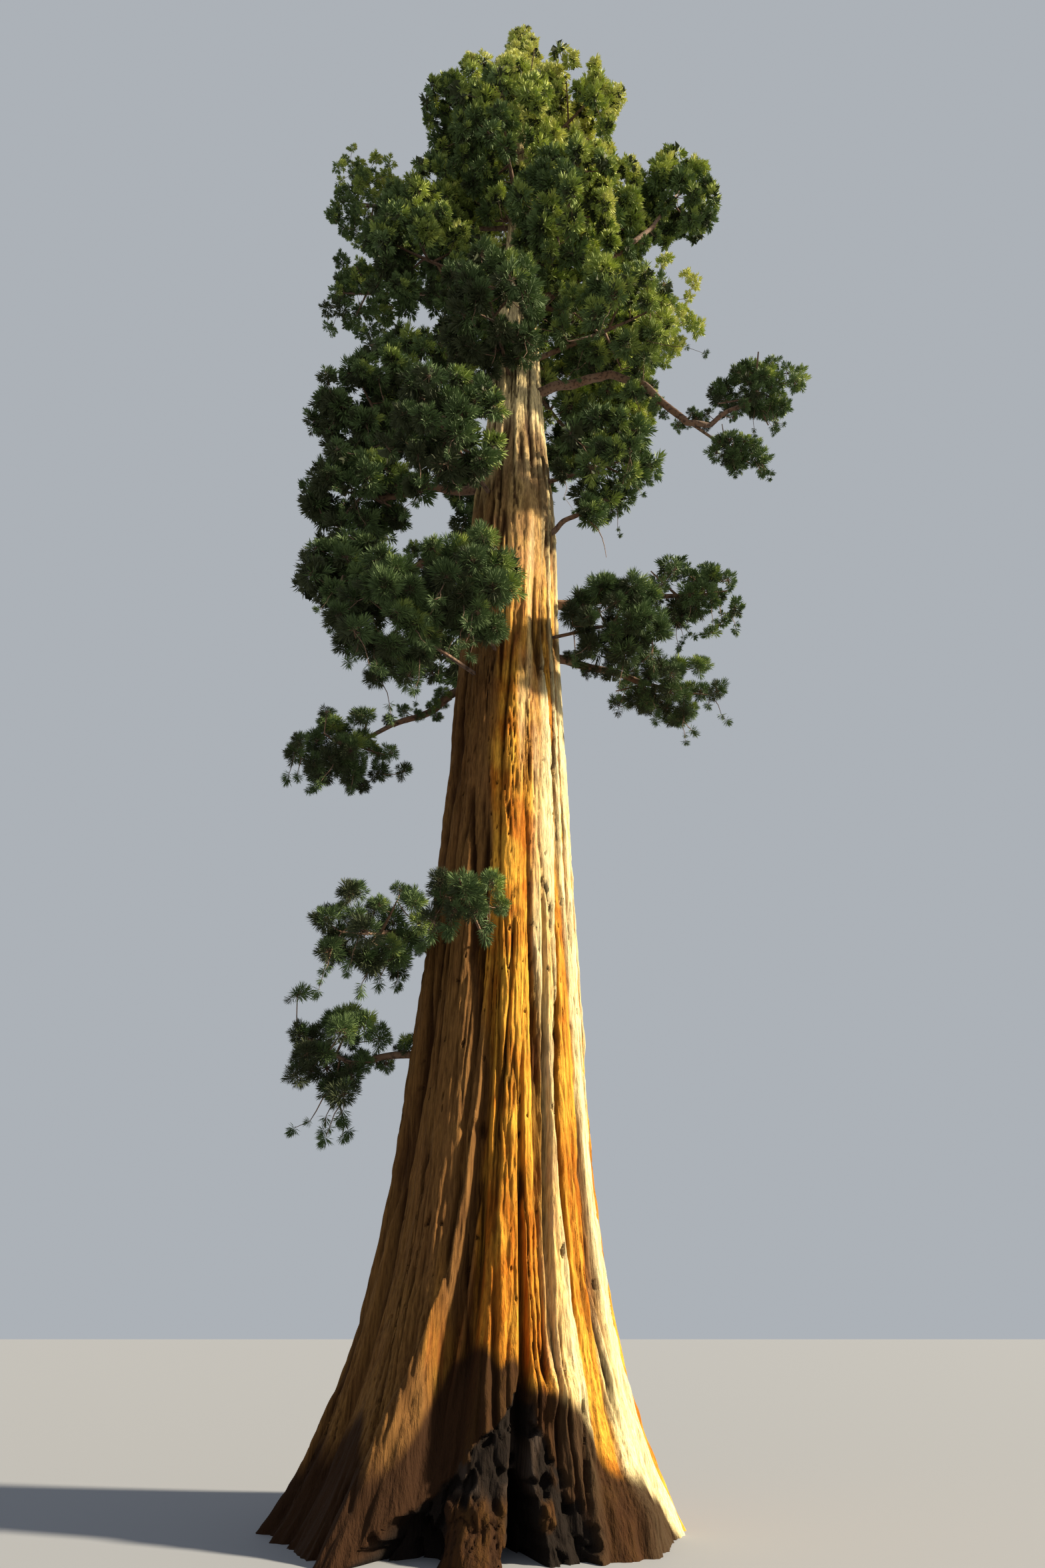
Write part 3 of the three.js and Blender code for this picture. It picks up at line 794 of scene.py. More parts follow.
        def grain(kind: Grain, warp: Any = 0.0) -> np.ndarray:
            """One of the bark's noises, on the trunk's surface.

            Args:
                kind: which noise.
                warp: how far it is turned round the trunk at each place, in radians.

            Returns:
                The noise at each place.
            """
            seed, cell, stretch = kind.value
            across = self.grain_radius / cell * direction(turn + warp)[..., :2]
            upward = (height / (cell * stretch))[..., None]
            return GradientNoise(seed)(np.concatenate([across, upward], axis=-1))

        def slits(noise: np.ndarray, width: float) -> np.ndarray:
            """1 along the lines where a noise crosses zero, with steep sides."""
            return np.exp(-np.abs(noise / width) ** 3)

        wander = 0.05 * grain(Grain.SWAY) + 0.012 * grain(Grain.WANDER) + 0.004 * grain(Grain.TREMBLE)
        ridges = grain(Grain.RIDGES, wander)
        furrows = slits(ridges, 0.14) * np.clip(0.6 + 1.2 * grain(Grain.FURROW_DEPTH), 0.1, 1)
        plates = smooth(-0.09, 0.09, ridges)
        fissures = slits(grain(Grain.FISSURES, wander), 0.085)
        fissures = fissures * np.clip(0.35 + 1.6 * grain(Grain.FISSURE_DEPTH), 0, 1)
        cracks = slits(grain(Grain.CRACKS, wander), 0.14)
        cracks = cracks * np.clip(0.45 + grain(Grain.CRACK_DEPTH), 0.05, 1)
        strands = grain(Grain.STRANDS)
        flakes = grain(Grain.FLAKES, 0.5 * wander)
        holes = smooth(0.66, 0.72, grain(Grain.HOLES)) * smooth(0.9, 1.6, height) * smooth(9, 6, height)
        ragged = grain(Grain.RAGGED) + 0.5 * grain(Grain.RAGGED_FINE)

        form = self.form_radius(azimuth, height)
        deep = sum(crevice.depth(azimuth, height) for crevice in self.crevices)
        for at, level, half_width, half_height, push in self.knobs:
            apart = turned_from(azimuth, at)
            deep = deep - push * np.exp(-((apart / half_width) ** 2) - ((height - level) / half_height) ** 2)
        island = self.island(azimuth, height, ragged)
        hollow = self.hollow.share(azimuth + 2.0 * ragged, height)
        left_hollow = self.left_hollow.share(azimuth + 4.0 * ragged, height)
        burnt = self.burn(azimuth, height, ragged) * (1 - island)
        burnt = np.maximum(burnt, np.maximum(hollow, left_hollow))
        bark = 1 - 0.9 * np.maximum(burnt, island)

        pits = smooth(0.24, 0.40, grain(Grain.PITS)) * burnt
        charred = slits(grain(Grain.CHARRED), 0.10) * burnt
        scales = slits(grain(Grain.SCALES), 0.10) * island
        splits = self.ridge_depth * furrows + self.fissure_depth * fissures + self.crack_depth * cracks
        skin = self.plate_depth * (1 - plates) - self.strand_depth * strands - self.flake_depth * flakes
        inward = (
            bark * thick * splits
            + bark * thick * skin
            + deep * thick
            + self.burn_depth * burnt * (1 + 0.35 * grain(Grain.BURN_DEPTH))
            + self.pit_depth * pits
            + self.charred_depth * charred
            + self.scale_depth * scales
            + self.hole_depth * holes
            + self.hollow.depth * hollow
            + self.left_hollow.depth * left_hollow
            + self.island_depth * island * (1 + 1.5 * grain(Grain.ISLAND_RELIEF))
        )
        # Painted shade in the furrows, fissures, cracks, holes and scales, darker the deeper a groove goes
        dark = 0.95 * furrows + 0.9 * fissures + 0.4 * cracks + 0.8 * holes + 0.8 * scales
        dark = np.clip(dark + np.maximum(deep, 0) / 0.22, 0, 0.92)
        bare = burnt * smooth(0.28, 0.34, height) * smooth(-0.15, 0.25, grain(Grain.BARE_WOOD)) * (1 - hollow)
        # Scorched bark round the foot under a painted shadow with a ragged edge
        above_scorch_and_shadow = height - np.interp(azimuth, self.scorch_azimuths, self.scorch_heights)
        scorch = smooth(0.06, -0.08, above_scorch_and_shadow + 0.16 * grain(Grain.SCORCH_EDGE))
        scorch = scorch * (0.97 - 0.02 * island)
        char = np.clip(burnt * (0.95 - 0.55 * bare) + pits, 0, 0.97)
        # Painted shade on the flank away from the sun, over weathered bark
        from_shaded_side = np.abs(turned_from(azimuth, self.weather_side)) + 14 * grain(Grain.WEATHER_EDGE)
        weather = 0.95 * smooth(58, 46, from_shaded_side) * smooth(13, 8, height)
        # Painted shade of the crown on the bark below it, in the same colour as the shaded flank
        lowest, low, highest, high = self.under_crown
        shaded = smooth(lowest, low, height) * smooth(highest, high, height)
        weather = np.maximum(weather, 0.8 * shaded * np.clip(0.75 + 1.2 * grain(Grain.UNDER_CROWN), 0, 1))
        # Painted highlight on the ridge tops that face the sun, none in the furrows
        from_highlight_side = np.abs(turned_from(azimuth, self.painted_highlight_side)) + 16 * grain(Grain.BLEACH_EDGE)
        painted_sun_highlight = 0.80 * smooth(58, 22, from_highlight_side) * plates * (1 - furrows)
        pale = np.maximum(0.75 * smooth(7.0, 15.0, height), painted_sun_highlight)
        values = {
            "furrow": dark, "char": char, "scorch": scorch, "bare": bare, "weather": weather, "pale": pale
        }
        return form - inward, values

    def rings(self) -> list[tuple[Section, np.ndarray]]:
        """The heights of each section's rings; neighbours share the ring between them."""
        stops = [section.start for section in self.sections[1:]] + [self.height]
        return [
            (section, np.linspace(section.start, stop, round((stop - section.start) / section.ring) + 1))
            for section, stop in zip(self.sections, stops)
        ]

    def build(self) -> list[bpy.types.Object]:
        """Builds the sections, each a closed mesh.

        Returns:
            The sections from the ground up.
        """
        material = self.finish.material()
        made = []
        columns_below = self.sections[0].columns
        for section, heights in self.rings():
            made.append(self.section_mesh(section, heights, columns_below, material))
            columns_below = section.columns
        return made

    def section_mesh(
        self, section: Section, heights: np.ndarray, columns_below: int, material: bpy.types.Material
    ) -> bpy.types.Object:
        """Builds one section.

        Args:
            section: its row.
            heights: the heights of its rings.
            columns_below: the columns of the section under it, which its first ring keeps.
            material: the bark.

        Returns:
            The section, closed by a fan of faces at each end.
        """
        counts = [columns_below] + [section.columns] * (len(heights) - 1)
        azimuth = np.concatenate([np.arange(count) * 360 / count - 180 for count in counts])
        height = np.repeat(heights, counts)
        radius, values = self.surface(azimuth, height)
        turn = np.radians(azimuth)
        points = np.stack(
            [self.axis(height) + radius * np.cos(turn), radius * np.sin(turn), height], axis=-1
        )
        faces = self.stitch(columns_below, section.columns)
        first = columns_below
        for _ in range(len(heights) - 2):
            lower = first + np.arange(section.columns)
            following = first + (np.arange(section.columns) + 1) % section.columns
            faces += np.stack(
                [lower, following, following + section.columns, lower + section.columns], axis=-1
            ).tolist()
            first += section.columns
        # The ends have corners of their own, so that they don't bend the shading of the bark beside them
        ends = [(heights[0], points[:columns_below], -1), (heights[-1], points[-section.columns :], 1)]
        for level, ring, facing in ends:
            start, count = len(points), len(ring)
            points = np.concatenate([points, ring, [[self.axis(level), 0, level]]])
            turns = [(start + i, start + (i + 1) % count) for i in range(count)]
            faces += [(start + count, *turn[::facing]) for turn in turns]
        values = {
            key: np.concatenate([numbers, np.full(len(points) - len(numbers), 0.5)])
            for key, numbers in values.items()
        }
        return mesh_object(section.name, points, faces, material, values)

    @staticmethod
    def stitch(below: int, above: int) -> list:
        """The faces between the first ring and the second.

        Args:
            below: the corners of the first ring.
            above: the corners of the second, as many or half as many.

        Returns:
            The faces.
        """
        if below == above:
            return [(i, (i + 1) % below, below + (i + 1) % above, below + i) for i in range(below)]
        faces = []
        for i in range(above):
            following = below + (i + 1) % above
            left, middle, right = 2 * i, 2 * i + 1, (2 * i + 2) % below
            faces += [(left, middle, below + i), (middle, following, below + i), (middle, right, following)]
        return faces


@dataclass(frozen=True)
class Bough:
    """A tapering limb: its foot on the trunk or the limb it goes on from, its tip, radii and arch."""

    name: str
    tip: tuple[float, float, float]
    radii: tuple[float, float]
    foot: float = 0.0
    arch: float = 0.0
    after: str = ""


@dataclass
class Boughs:
    """The main boughs and the dead stubs, as bark along their curves."""

    trunk: Trunk
    lead: float = 0.3
    rows: tuple[Bough, ...] = (
        Bough("low_left_upper_bough", (-157, 1.08, 4.38), (0.046, 0.026), 3.98, 0.06),
        Bough("low_left_lower_bough", (-171, 1.33, 3.12), (0.048, 0.026), 3.30, 0.12),
        Bough("left_hanging_bough", (178, 1.33, 7.38), (0.070, 0.034), 8.10, 0.09),
        Bough("left_low_bough", (172, 1.90, 10.33), (0.080, 0.042), 11.7, -0.42),
        Bough("left_mid_bough", (170, 2.15, 12.50), (0.090, 0.046), 12.3, 0.18),
        Bough("right_low_bough", (3, 2.35, 9.85), (0.085, 0.042), 9.6, -0.13),
        Bough("right_under_bough", (4, 1.85, 8.18), (0.072, 0.038), 8.6, 0.15),
        Bough("right_long_bough", (-5, 1.75, 15.40), (0.090, 0.076), 14.9, 0.04),
        Bough("right_long_bough_outer", (-2, 3.10, 14.05), (0.072, 0.056), after="right_long_bough"),
        Bough("right_long_bough_tip", (0, 4.40, 14.85), (0.054, 0.034), after="right_long_bough_outer"),
        Bough("upper_left_bough", (174, 2.80, 24.30), (0.084, 0.046), 22.8, 0.20),
        Bough("right_dead_bough", (-16, 1.18, 11.12), (0.056, 0.034), 10.5, 0.09),
        Bough("right_upper_bough", (-5, 3.30, 21.70), (0.084, 0.046), 18.2, -0.52),
    )
    sides: int = 18
    step: float = 0.035
    relief: float = 0.16
    knob_spacing: float = 0.11
    wiggle: float = 0.045
    wave_turns: tuple[float, float, float] = (9.0, 11.0, 7.0)
    samples: int = 25
    seed: int = 900
    finish: LimbFinish = LimbFinish("flaky_bough_bark")
    curves: dict[str, np.ndarray] = field(default_factory=dict)

    def __post_init__(self) -> None:
        """Works out every bough's curve, by the rule of its solid."""
        for row in self.rows:
            tip = place(*row.tip)
            if row.after:
                before = self.curves[row.after]
                along = unit(before[-1] - before[-2])
                start = before[-1]
                middle = start + along * np.linalg.norm(tip - start) * self.lead
            else:
                start = np.array([self.trunk.axis(row.foot), 0.0, row.foot])
                middle = (start + tip) / 2 + np.array([0, 0, row.arch])
            share = np.linspace(0, 1, self.samples)[:, None]
            self.curves[row.name] = (
                (1 - share) ** 2 * start + 2 * share * (1 - share) * middle + share**2 * tip
            )

    def rule(self) -> NodeRule:
        """The Geometry Nodes rule: a tube along the curve whose surface is knobbed by noise.

        Returns:
            The rule, with the limb's sizes as its inputs.
        """
        sizes = {"Sides": "Int", "Step": "Float", "Relief": "Float", "Knob spacing": "Float"}
        rule = NodeRule("bark_along_limb", {**sizes, "Material": "Material"})
        tree, start = rule.tree, rule.start
        fine = add_node(
            tree,
            "GeometryNodeResampleCurve",
            {"Curve": start.outputs["Geometry"], "Length": start.outputs["Step"]},
            mode="LENGTH",
        ).outputs[0]
        ring = add_node(
            tree, "GeometryNodeCurvePrimitiveCircle", {"Resolution": start.outputs["Sides"], "Radius": 1.0}
        ).outputs[0]
        girth = add_node(tree, "GeometryNodeInputRadius").outputs[0]
        tube = add_node(
            tree,
            "GeometryNodeCurveToMesh",
            {"Curve": fine, "Profile Curve": ring, "Scale": girth, "Fill Caps": True},
        ).outputs[0]
        spacing = add_node(
            tree, "ShaderNodeMath", {0: 1.0, 1: start.outputs["Knob spacing"]}, operation="DIVIDE"
        ).outputs[0]
        knobs = add_node(
            tree, "ShaderNodeTexNoise", {"Scale": spacing, "Detail": 3.0, "Roughness": 0.6}
        ).outputs["Fac"]
        centred = add_node(tree, "ShaderNodeMath", {0: knobs, 1: 0.5}, operation="SUBTRACT").outputs[0]
        depth = add_node(
            tree, "ShaderNodeMath", {0: centred, 1: start.outputs["Relief"]}, operation="MULTIPLY"
        ).outputs[0]
        normal = add_node(tree, "GeometryNodeInputNormal").outputs[0]
        offset = add_node(
            tree, "ShaderNodeVectorMath", {0: normal, "Scale": depth}, operation="SCALE"
        ).outputs[0]
        knobbed = add_node(tree, "GeometryNodeSetPosition", {"Geometry": tube, "Offset": offset}).outputs[0]
        rounded = add_node(tree, "GeometryNodeSetShadeSmooth", {"Geometry": knobbed}).outputs[0]
        rule.close(rounded)
        return rule

    def build(self) -> list[bpy.types.Object]:
        """Builds every bough along its curve, with a slight wiggle between its ends.

        Returns:
            The boughs in the order of the rows.
        """
        rule = self.rule()
        material = self.finish.material()
        made = []
        for index, row in enumerate(self.rows):
            route = self.curves[row.name]
            random = np.random.default_rng(self.seed + index)
            share = np.linspace(0, 1, len(route))
            ease = np.sin(np.pi * share)[:, None]
            phase = random.uniform(0, 2 * math.pi, 3)
            waves = np.sin(share[:, None] * np.array(self.wave_turns) + phase)
            route = route + self.wiggle * ease * waves
            curve = bpy.data.curves.new(row.name, "CURVE")
            curve.dimensions = "3D"
            spline = curve.splines.new("POLY")
            spline.points.add(len(route) - 1)
            for point, spot, part in zip(spline.points, route, share):
                point.co = (*spot, 1)
                point.radius = row.radii[0] + (row.radii[1] - row.radii[0]) * part
            source = bpy.data.objects.new(row.name + "_route", curve)
            bpy.context.scene.collection.objects.link(source)
            values = {
                "Sides": self.sides,
                "Step": self.step,
                "Relief": self.relief * sum(row.radii),
                "Knob spacing": self.knob_spacing,
                "Material": material,
            }
            made.append(rule.run(row.name + "_bark", source, values))
        return made


@dataclass
class Mass:
    """A mass of foliage in its own space: an ellipsoid that planes part from its neighbours.

    Its clumps fill the given shares of that space along the three axes.
    """

    name: str
    centre: np.ndarray
    half: tuple[float, float]
    host: str = "trunk"
    foot: float = 0.0
    dense: bool = False
    # A shift of its tints: painted light above 0, painted shade below
    lit: float = 0.0
    fill: tuple[float, float, float] = (1.0, 1.0, 1.0)
    normals: np.ndarray = field(default_factory=lambda: np.zeros((0, 3)))
    limits: np.ndarray = field(default_factory=lambda: np.zeros(0))

    @property
    def size(self) -> np.ndarray:
        """Its half sizes along the three axes."""
        return np.array([self.half[0], self.half[0], self.half[1]])

    def own_reach(self, directions: np.ndarray) -> np.ndarray:
        """How far it reaches before any neighbour is counted."""
        return 1 / np.linalg.norm(directions / self.size, axis=-1)

    def reach(self, directions: np.ndarray) -> np.ndarray:
        """How far its space goes.

        Args:
            directions: unit vectors as rows.

        Returns:
            The distance from its centre in each direction.
        """
        slopes = directions @ self.normals.T
        walls = np.where(slopes > 1e-6, self.limits / np.maximum(slopes, 1e-6), np.inf)
        return np.minimum(self.own_reach(directions), walls.min(axis=-1, initial=np.inf))

    def holds(self, points: np.ndarray, overhang: float) -> np.ndarray:
        """Whether points are in its space.

        Args:
            points: the places as rows.
            overhang: how far past its ellipsoid they may be, as a share of its size.

        Returns:
            True for each point inside.
        """
        offsets = points - self.centre
        own = np.linalg.norm(offsets / (self.size * self.fill), axis=-1) <= overhang
        cell = (offsets @ self.normals.T <= self.limits + 0.05).all(axis=-1)
        low, high = np.array(CAD_BOX)
        proud = PROUD_SHARE * (high - low)
        return own & cell & (points >= low - proud).all(axis=-1) & (points <= high + proud).all(axis=-1)


@dataclass(frozen=True)
class Tier:
    """A ring of masses round the trunk, evenly apart."""

    name: str
    height: float
    reach: float
    half: tuple[float, float]
    first: float
    count: int
    step: float
    fill: tuple[float, float, float] = (0.90, 0.92, 1.10)


@dataclass(frozen=True)
class SprayKind:
    """One kind of spray: its shoots, how slim they are, how far they lean out and how long they are."""

    name: str
    shoots: int
    slim: float
    lean: float
    shoot_share: float


class Spray(Enum):
    """The kinds of spray: the nearer the eye the finer, and broad ones deep inside."""

    FINE = SprayKind("fine_needles", 46, 0.085, 80, 0.72)
    MIDDLE = SprayKind("middle_needles", 34, 0.15, 72, 0.66)
    CROWN = SprayKind("crown_needles", 26, 0.22, 70, 0.66)
    DEEP = SprayKind("deep_needles", 12, 0.55, 80, 0.75)


@dataclass
class Growth:
    """What has grown so far: twigs as rows of points with girths, and sprays."""

    twigs: list[tuple[np.ndarray, np.ndarray]] = field(default_factory=list)
    sprays: list[tuple[np.ndarray, ...]] = field(default_factory=list)

    def spray(
        self,
        kind: Spray,
        owner: int,
        feet: np.ndarray,
        headings: np.ndarray,
        lengths: np.ndarray,
        tints: np.ndarray,
    ) -> None:
        """Adds sprays.

        Args:
            kind: their kind.
            owner: the number of the mass that they are in.
            feet: where they start.
            headings: where they point.
            lengths: how long they are.
            tints: the numbers of their tints.
        """
        kinds = np.full(len(feet), list(Spray).index(kind))
        self.sprays.append((feet, headings, lengths, tints, kinds, np.full(len(feet), owner)))


@dataclass
class Foliage:
    """The crown: masses, the twigs that branch in them and the sprays at the twigs' ends."""

    trunk: Trunk
    boughs: Boughs
    lone: tuple[Mass, ...] = (
        Mass("low_left_front", place(-98, 1.40, 4.25), (0.46, 0.32), foot=4.05),
        Mass("low_left_upper", place(-151, 1.30, 4.25), (0.74, 0.56), "low_left_upper_bough"),
        Mass("low_left_lower", place(-170, 1.52, 3.25), (0.60, 0.70), "low_left_lower_bough"),
        Mass("left_hanging", place(-179, 1.88, 6.90), (0.90, 0.62), "left_hanging_bough",
             fill=(1.0, 0.7, 0.85)),
        Mass("left_front_low", place(-126, 1.88, 7.60), (0.80, 0.85), foot=7.8, dense=True),
        Mass("left_front_mid", place(-101, 1.70, 7.95), (0.70, 0.85), foot=8.1, dense=True),
        Mass("left_tip_low", place(173, 2.35, 10.35), (0.90, 0.95), "left_low_bough", dense=True,
             fill=(0.9, 0.8, 0.95)),
        Mass("left_mid", place(171, 2.48, 12.65), (1.15, 1.20), "left_mid_bough", dense=True,
             fill=(0.85, 0.85, 0.95)),
        Mass("left_front_upper", place(-119, 1.62, 11.50), (0.95, 1.05), foot=11.3, dense=True, lit=-0.06),
        Mass("front_low", place(-98, 1.40, 15.10), (1.05, 1.45), foot=14.9, dense=True, lit=-0.16),
        Mass("left_upper_low", place(172, 2.50, 15.00), (1.40, 1.25), foot=14.4, dense=True,
             fill=(0.88, 0.85, 0.95)),
        Mass("right_low_outer", place(2, 2.80, 9.85), (0.95, 0.78), "right_low_bough",
             lit=-0.1, fill=(1.0, 0.6, 0.9)),
        Mass("right_low_inner", place(-19, 1.62, 8.60), (0.76, 0.80), foot=8.7, dense=True, lit=-0.16),
        Mass("right_low_under", place(4, 2.18, 8.10), (0.88, 0.72), "right_under_bough",
             lit=-0.1, fill=(1.0, 0.7, 0.95)),
        Mass("right_mid_low", place(-12, 1.70, 12.35), (0.95, 0.85), foot=12.15, dense=True, lit=-0.1),
        Mass("right_mid_back", place(36, 2.65, 17.20), (1.25, 1.40), foot=16.5, dense=True,
             lit=0.16, fill=(0.9, 0.8, 0.9)),
        Mass("right_long_tip", place(0, 4.60, 15.25), (1.20, 1.10), "right_long_bough_tip",
             lit=-0.12, fill=(1.0, 0.45, 0.75)),
        Mass("right_long_hanging", place(2, 3.95, 13.40), (0.76, 0.68), "right_long_bough_outer",
             lit=-0.12, fill=(0.95, 0.5, 0.85)),
        Mass("upper_left", place(175, 3.60, 24.70), (1.35, 1.80), "upper_left_bough",
             fill=(0.95, 0.85, 0.95)),
        Mass("upper_left_low", place(175, 3.20, 19.70), (1.15, 1.45), foot=19.0, fill=(0.95, 0.8, 0.9)),
        Mass("right_upper", place(-4, 3.90, 23.30), (1.20, 1.90), "right_upper_bough", dense=True,
             lit=-0.2, fill=(0.92, 0.75, 0.95)),
        Mass("right_upper_back", place(17, 3.40, 20.10), (1.30, 1.40), foot=19.2, lit=0.14),
        Mass("back_low", place(118, 2.20, 11.20), (1.20, 1.30), foot=10.9, dense=True),
        Mass("back_mid", place(95, 2.10, 14.60), (1.15, 1.30), foot=14.0, dense=True),
        Mass("top", place(45, 0.45, 38.30), (0.90, 1.90), foot=36.7, dense=True, fill=(0.85, 0.75, 1.15)),
    )
    tiers: tuple[Tier, ...] = (
        Tier("tier_a", 16.4, 1.50, (1.35, 1.65), -20, 3, 85),
        Tier("tier_b", 19.3, 1.55, (1.45, 1.90), -62, 4, 88),
        Tier("tier_c", 22.7, 1.50, (1.45, 2.05), -98, 4, 90),
        Tier("tier_d", 26.3, 1.40, (1.40, 2.15), -135, 4, 90),
        Tier("tier_e", 29.9, 1.00, (1.25, 2.20), -80, 3, 120),
        Tier("tier_f", 33.6, 0.56, (1.05, 2.45), -160, 2, 180, (0.75, 0.75, 1.10)),
    )
    # How far the crown may stand from the trunk's axis across the view and along it, by height
    outline_heights: tuple[float, ...] = (26.0, 27.0, 29.0, 31.2, 33.0, 34.8, 36.5, 38.5, 39.9)
    outline_across: tuple[float, ...] = (9.0, 2.3, 2.0, 1.5, 1.05, 0.75, 0.45, 0.3, 0.15)
    outline_along: tuple[float, ...] = (9.0, 1.4, 1.0, 0.65, 0.5, 0.4, 0.32, 0.25, 0.15)
    # How much farther it stands out on its far side
    outline_far: float = 2.4
    tier_drop: float = 0.5
    crown_breadth: float = 1.35
    tier_wander: tuple[float, float, float] = (0.1, 0.26, 0.08)
    tier_seed: int = 71
    cell_gap: float = 0.008
    overhang: float = 1.06
    # Main twigs of a mass, by the rule of its solid
    main_twigs: int = 5
    twig_fall: float = 1.75
    twig_spacing: float = 0.07
    stem_share: float = 0.045
    # Clumps: tufted cushions at the twigs' ends, with sprays all over them
    clump_radius: float = 0.29
    open_scale: float = 0.72
    clump_cover: float = 0.80
    open_cover: float = 0.46
    clump_shell: tuple[float, float] = (0.55, 1.04)
    open_shell: tuple[float, float] = (0.25, 1.0)
    # The outline of a mass swells and sinks by about this share
    lumpiness: float = 0.40
    # Clumps along the outer part of a limb that bears a mass, and twigs that hang from a low mass
    limb_clumps: int = 9
    hanging_twigs: int = 6
    # Short shoots along the trunk in the crown: how many, and the lowest and highest
    leader_clumps: int = 172
    leader_heights: tuple[float, float] = (17.0, 36.8)
    # How far they stand off the bark: at least, at the tip, for each metre below it, and at most
    leader_gap: float = 0.15
    leader_cone: tuple[float, float, float] = (0.1, 0.14, 1.1)
    # A limb that is dead but for a tuft near its end, and the mass that the tuft is counted to
    tufted_limb: tuple[str, str] = ("right_dead_bough", "right_mid_low")
    tuft_offsets: tuple[tuple[float, float, float], ...] = (
        (0.10, -0.05, 0.12), (0.24, 0.0, 0.02), (0.16, -0.1, -0.16)
    )
    # Directions in which a neighbour leaves a mass less than this share of its reach carry few clumps
    hidden_below: float = 0.62
    hidden_share: float = 0.3
    sprays_per_clump: int = 14
    upturn: float = 0.30
    deep_sprays: int = 2
    # Below this height the tree is seen from close by, and its sprays are finer and its clumps smaller
    fine_below: float = 9.0
    fine_scale: float = 0.78
    fine_sprays: float = 1.3
    broad_above: float = 18.0
    limb_margin: float = 0.05
    thin_twig: float = 0.006
    twig_sides: int = 3
    # Where on a clump its sprays start and how long they are, as shares of its radius
    spray_feet: tuple[float, float] = (0.15, 0.45)
    spray_lengths: tuple[float, float] = (0.62, 0.88)
    # The cosine to which a clump is covered, and how far its sprays stray from an even spread
    cap_edge: float = -0.55
    scatter: float = 0.16
    # The tint's place between the darkest and the lightest, which paints light and shade on the needles: its
    # start, what the sun adds to it by the spray's way and by the clump's place in its mass and off the
    # trunk, what height adds, and scatter
    tint_start: float = 0.38
    tint_sun: float = 0.50
    sun_weights: tuple[float, float, float] = (0.30, 0.24, 0.26)
    tint_heights: tuple[float, ...] = (3, 9, 15, 22, 30, 38)
    tint_shifts: tuple[float, ...] = (-0.16, -0.10, 0.0, 0.16, 0.42, 0.56)
    tint_scatter: tuple[float, float] = (0.09, 0.06)
    seed: int = 417
    masses: list[Mass] = field(init=False)
    growth: Growth = field(default_factory=Growth)

    def __post_init__(self) -> None:
        """Gathers the masses and parts their spaces."""
        ringed = [mass for i, tier in enumerate(self.tiers) for mass in self.ring(tier, i)]
        self.masses = [*self.lone, *ringed]
        for mass in self.masses:
            self.part(mass)

    def ring(self, tier: Tier, index: int) -> list[Mass]:
        """The masses of one tier, each moved a little by the seed of its solid.

        Args:
            tier: the tier.
            index: its number, which sets the seed.

        Returns:
            The masses in turn round the trunk.
        """
        state = self.tier_seed + index

        def draw() -> float:
            """Draws the next number, by the rule that the solids use.

            Returns:
                A number from 0 to 1.
            """
            nonlocal state
            state = (state * 1664525 + 1013904223) & 0xFFFFFFFF
            return state / 4294967296

        by_reach, by_height, by_size = self.tier_wander
        made = []
        for i in range(tier.count):
            reach = tier.reach * (1 + by_reach * (2 * draw() - 1))
            height = tier.height + by_height * (2 * draw() - 1)
            size = 1 + by_size * (2 * draw() - 1)
            centre = place(tier.first + tier.step * i, reach, height)
            centre[0] = centre[0] * self.crown_breadth + self.trunk.axis(height)
            half = (tier.half[0] * size, tier.half[1] * size)
            name = f"{tier.name}_{i + 1}"
            made.append(Mass(name, centre, half, foot=height - self.tier_drop, dense=True, fill=tier.fill))
        return made

    def part(self, mass: Mass) -> None:
        """Sets the planes that part a mass from its neighbours, each at its share of the way.

        Args:
            mass: the mass, whose planes are set.
        """
        normals, limits = [], []
        for other in self.masses:
            if other is mass:
                continue
            way = other.centre - mass.centre
            apart = np.linalg.norm(way)
            normal = way / apart
            mine, theirs = mass.own_reach(normal), other.own_reach(normal)
            if mine + theirs > apart:
                normals.append(normal)
                limits.append(apart * mine / (mine + theirs) - self.cell_gap)
        if normals:
            mass.normals, mass.limits = np.array(normals), np.array(limits)

    def clear_of_trunk(self, points: np.ndarray) -> np.ndarray:
        """Whether points stand off the trunk.

        Args:
            points: the places as rows.

        Returns:
            True for each point that does.
        """
        height = np.minimum(points[:, 2], self.trunk.height)
        apart = np.hypot(points[:, 0] - self.trunk.axis(height), points[:, 1])
        outside = apart > self.trunk.mean_radius(height) + self.limb_margin
        return (points[:, 2] > self.trunk.height) | outside

    def within_outline(self, points: np.ndarray) -> np.ndarray:
        """Draws points that stand outside the crown's outline in to it, at their own height.

        Args:
            points: the places as rows.

        Returns:
            The places, moved where they stood outside.
        """
        height = points[:, 2]
        axis = self.trunk.axis(height)
        across = np.interp(height, self.outline_heights, self.outline_across)
        along = np.interp(height, self.outline_heights, self.outline_along)
        along = np.where(points[:, 1] > 0, self.outline_far, 1.0) * along
        draw = 1 / np.maximum(np.hypot((points[:, 0] - axis) / across, points[:, 1] / along), 1)
        return np.stack([axis + (points[:, 0] - axis) * draw, points[:, 1] * draw, height], axis=-1)

    def stem(self, mass: Mass) -> np.ndarray:
        """The stem of a mass.

        Args:
            mass: the mass.

        Returns:
            The stem's points, from the limb that bears it to its centre.
        """
        if mass.host == "trunk":
            start = np.array([self.trunk.axis(mass.foot), 0.0, mass.foot])
        else:
            route = self.boughs.curves[mass.host][:-1]
            start = route[np.argmin(np.linalg.norm(route - mass.centre, axis=1))]
        share = np.linspace(0, 1, 6)[:, None]
        return start + (mass.centre - start) * share

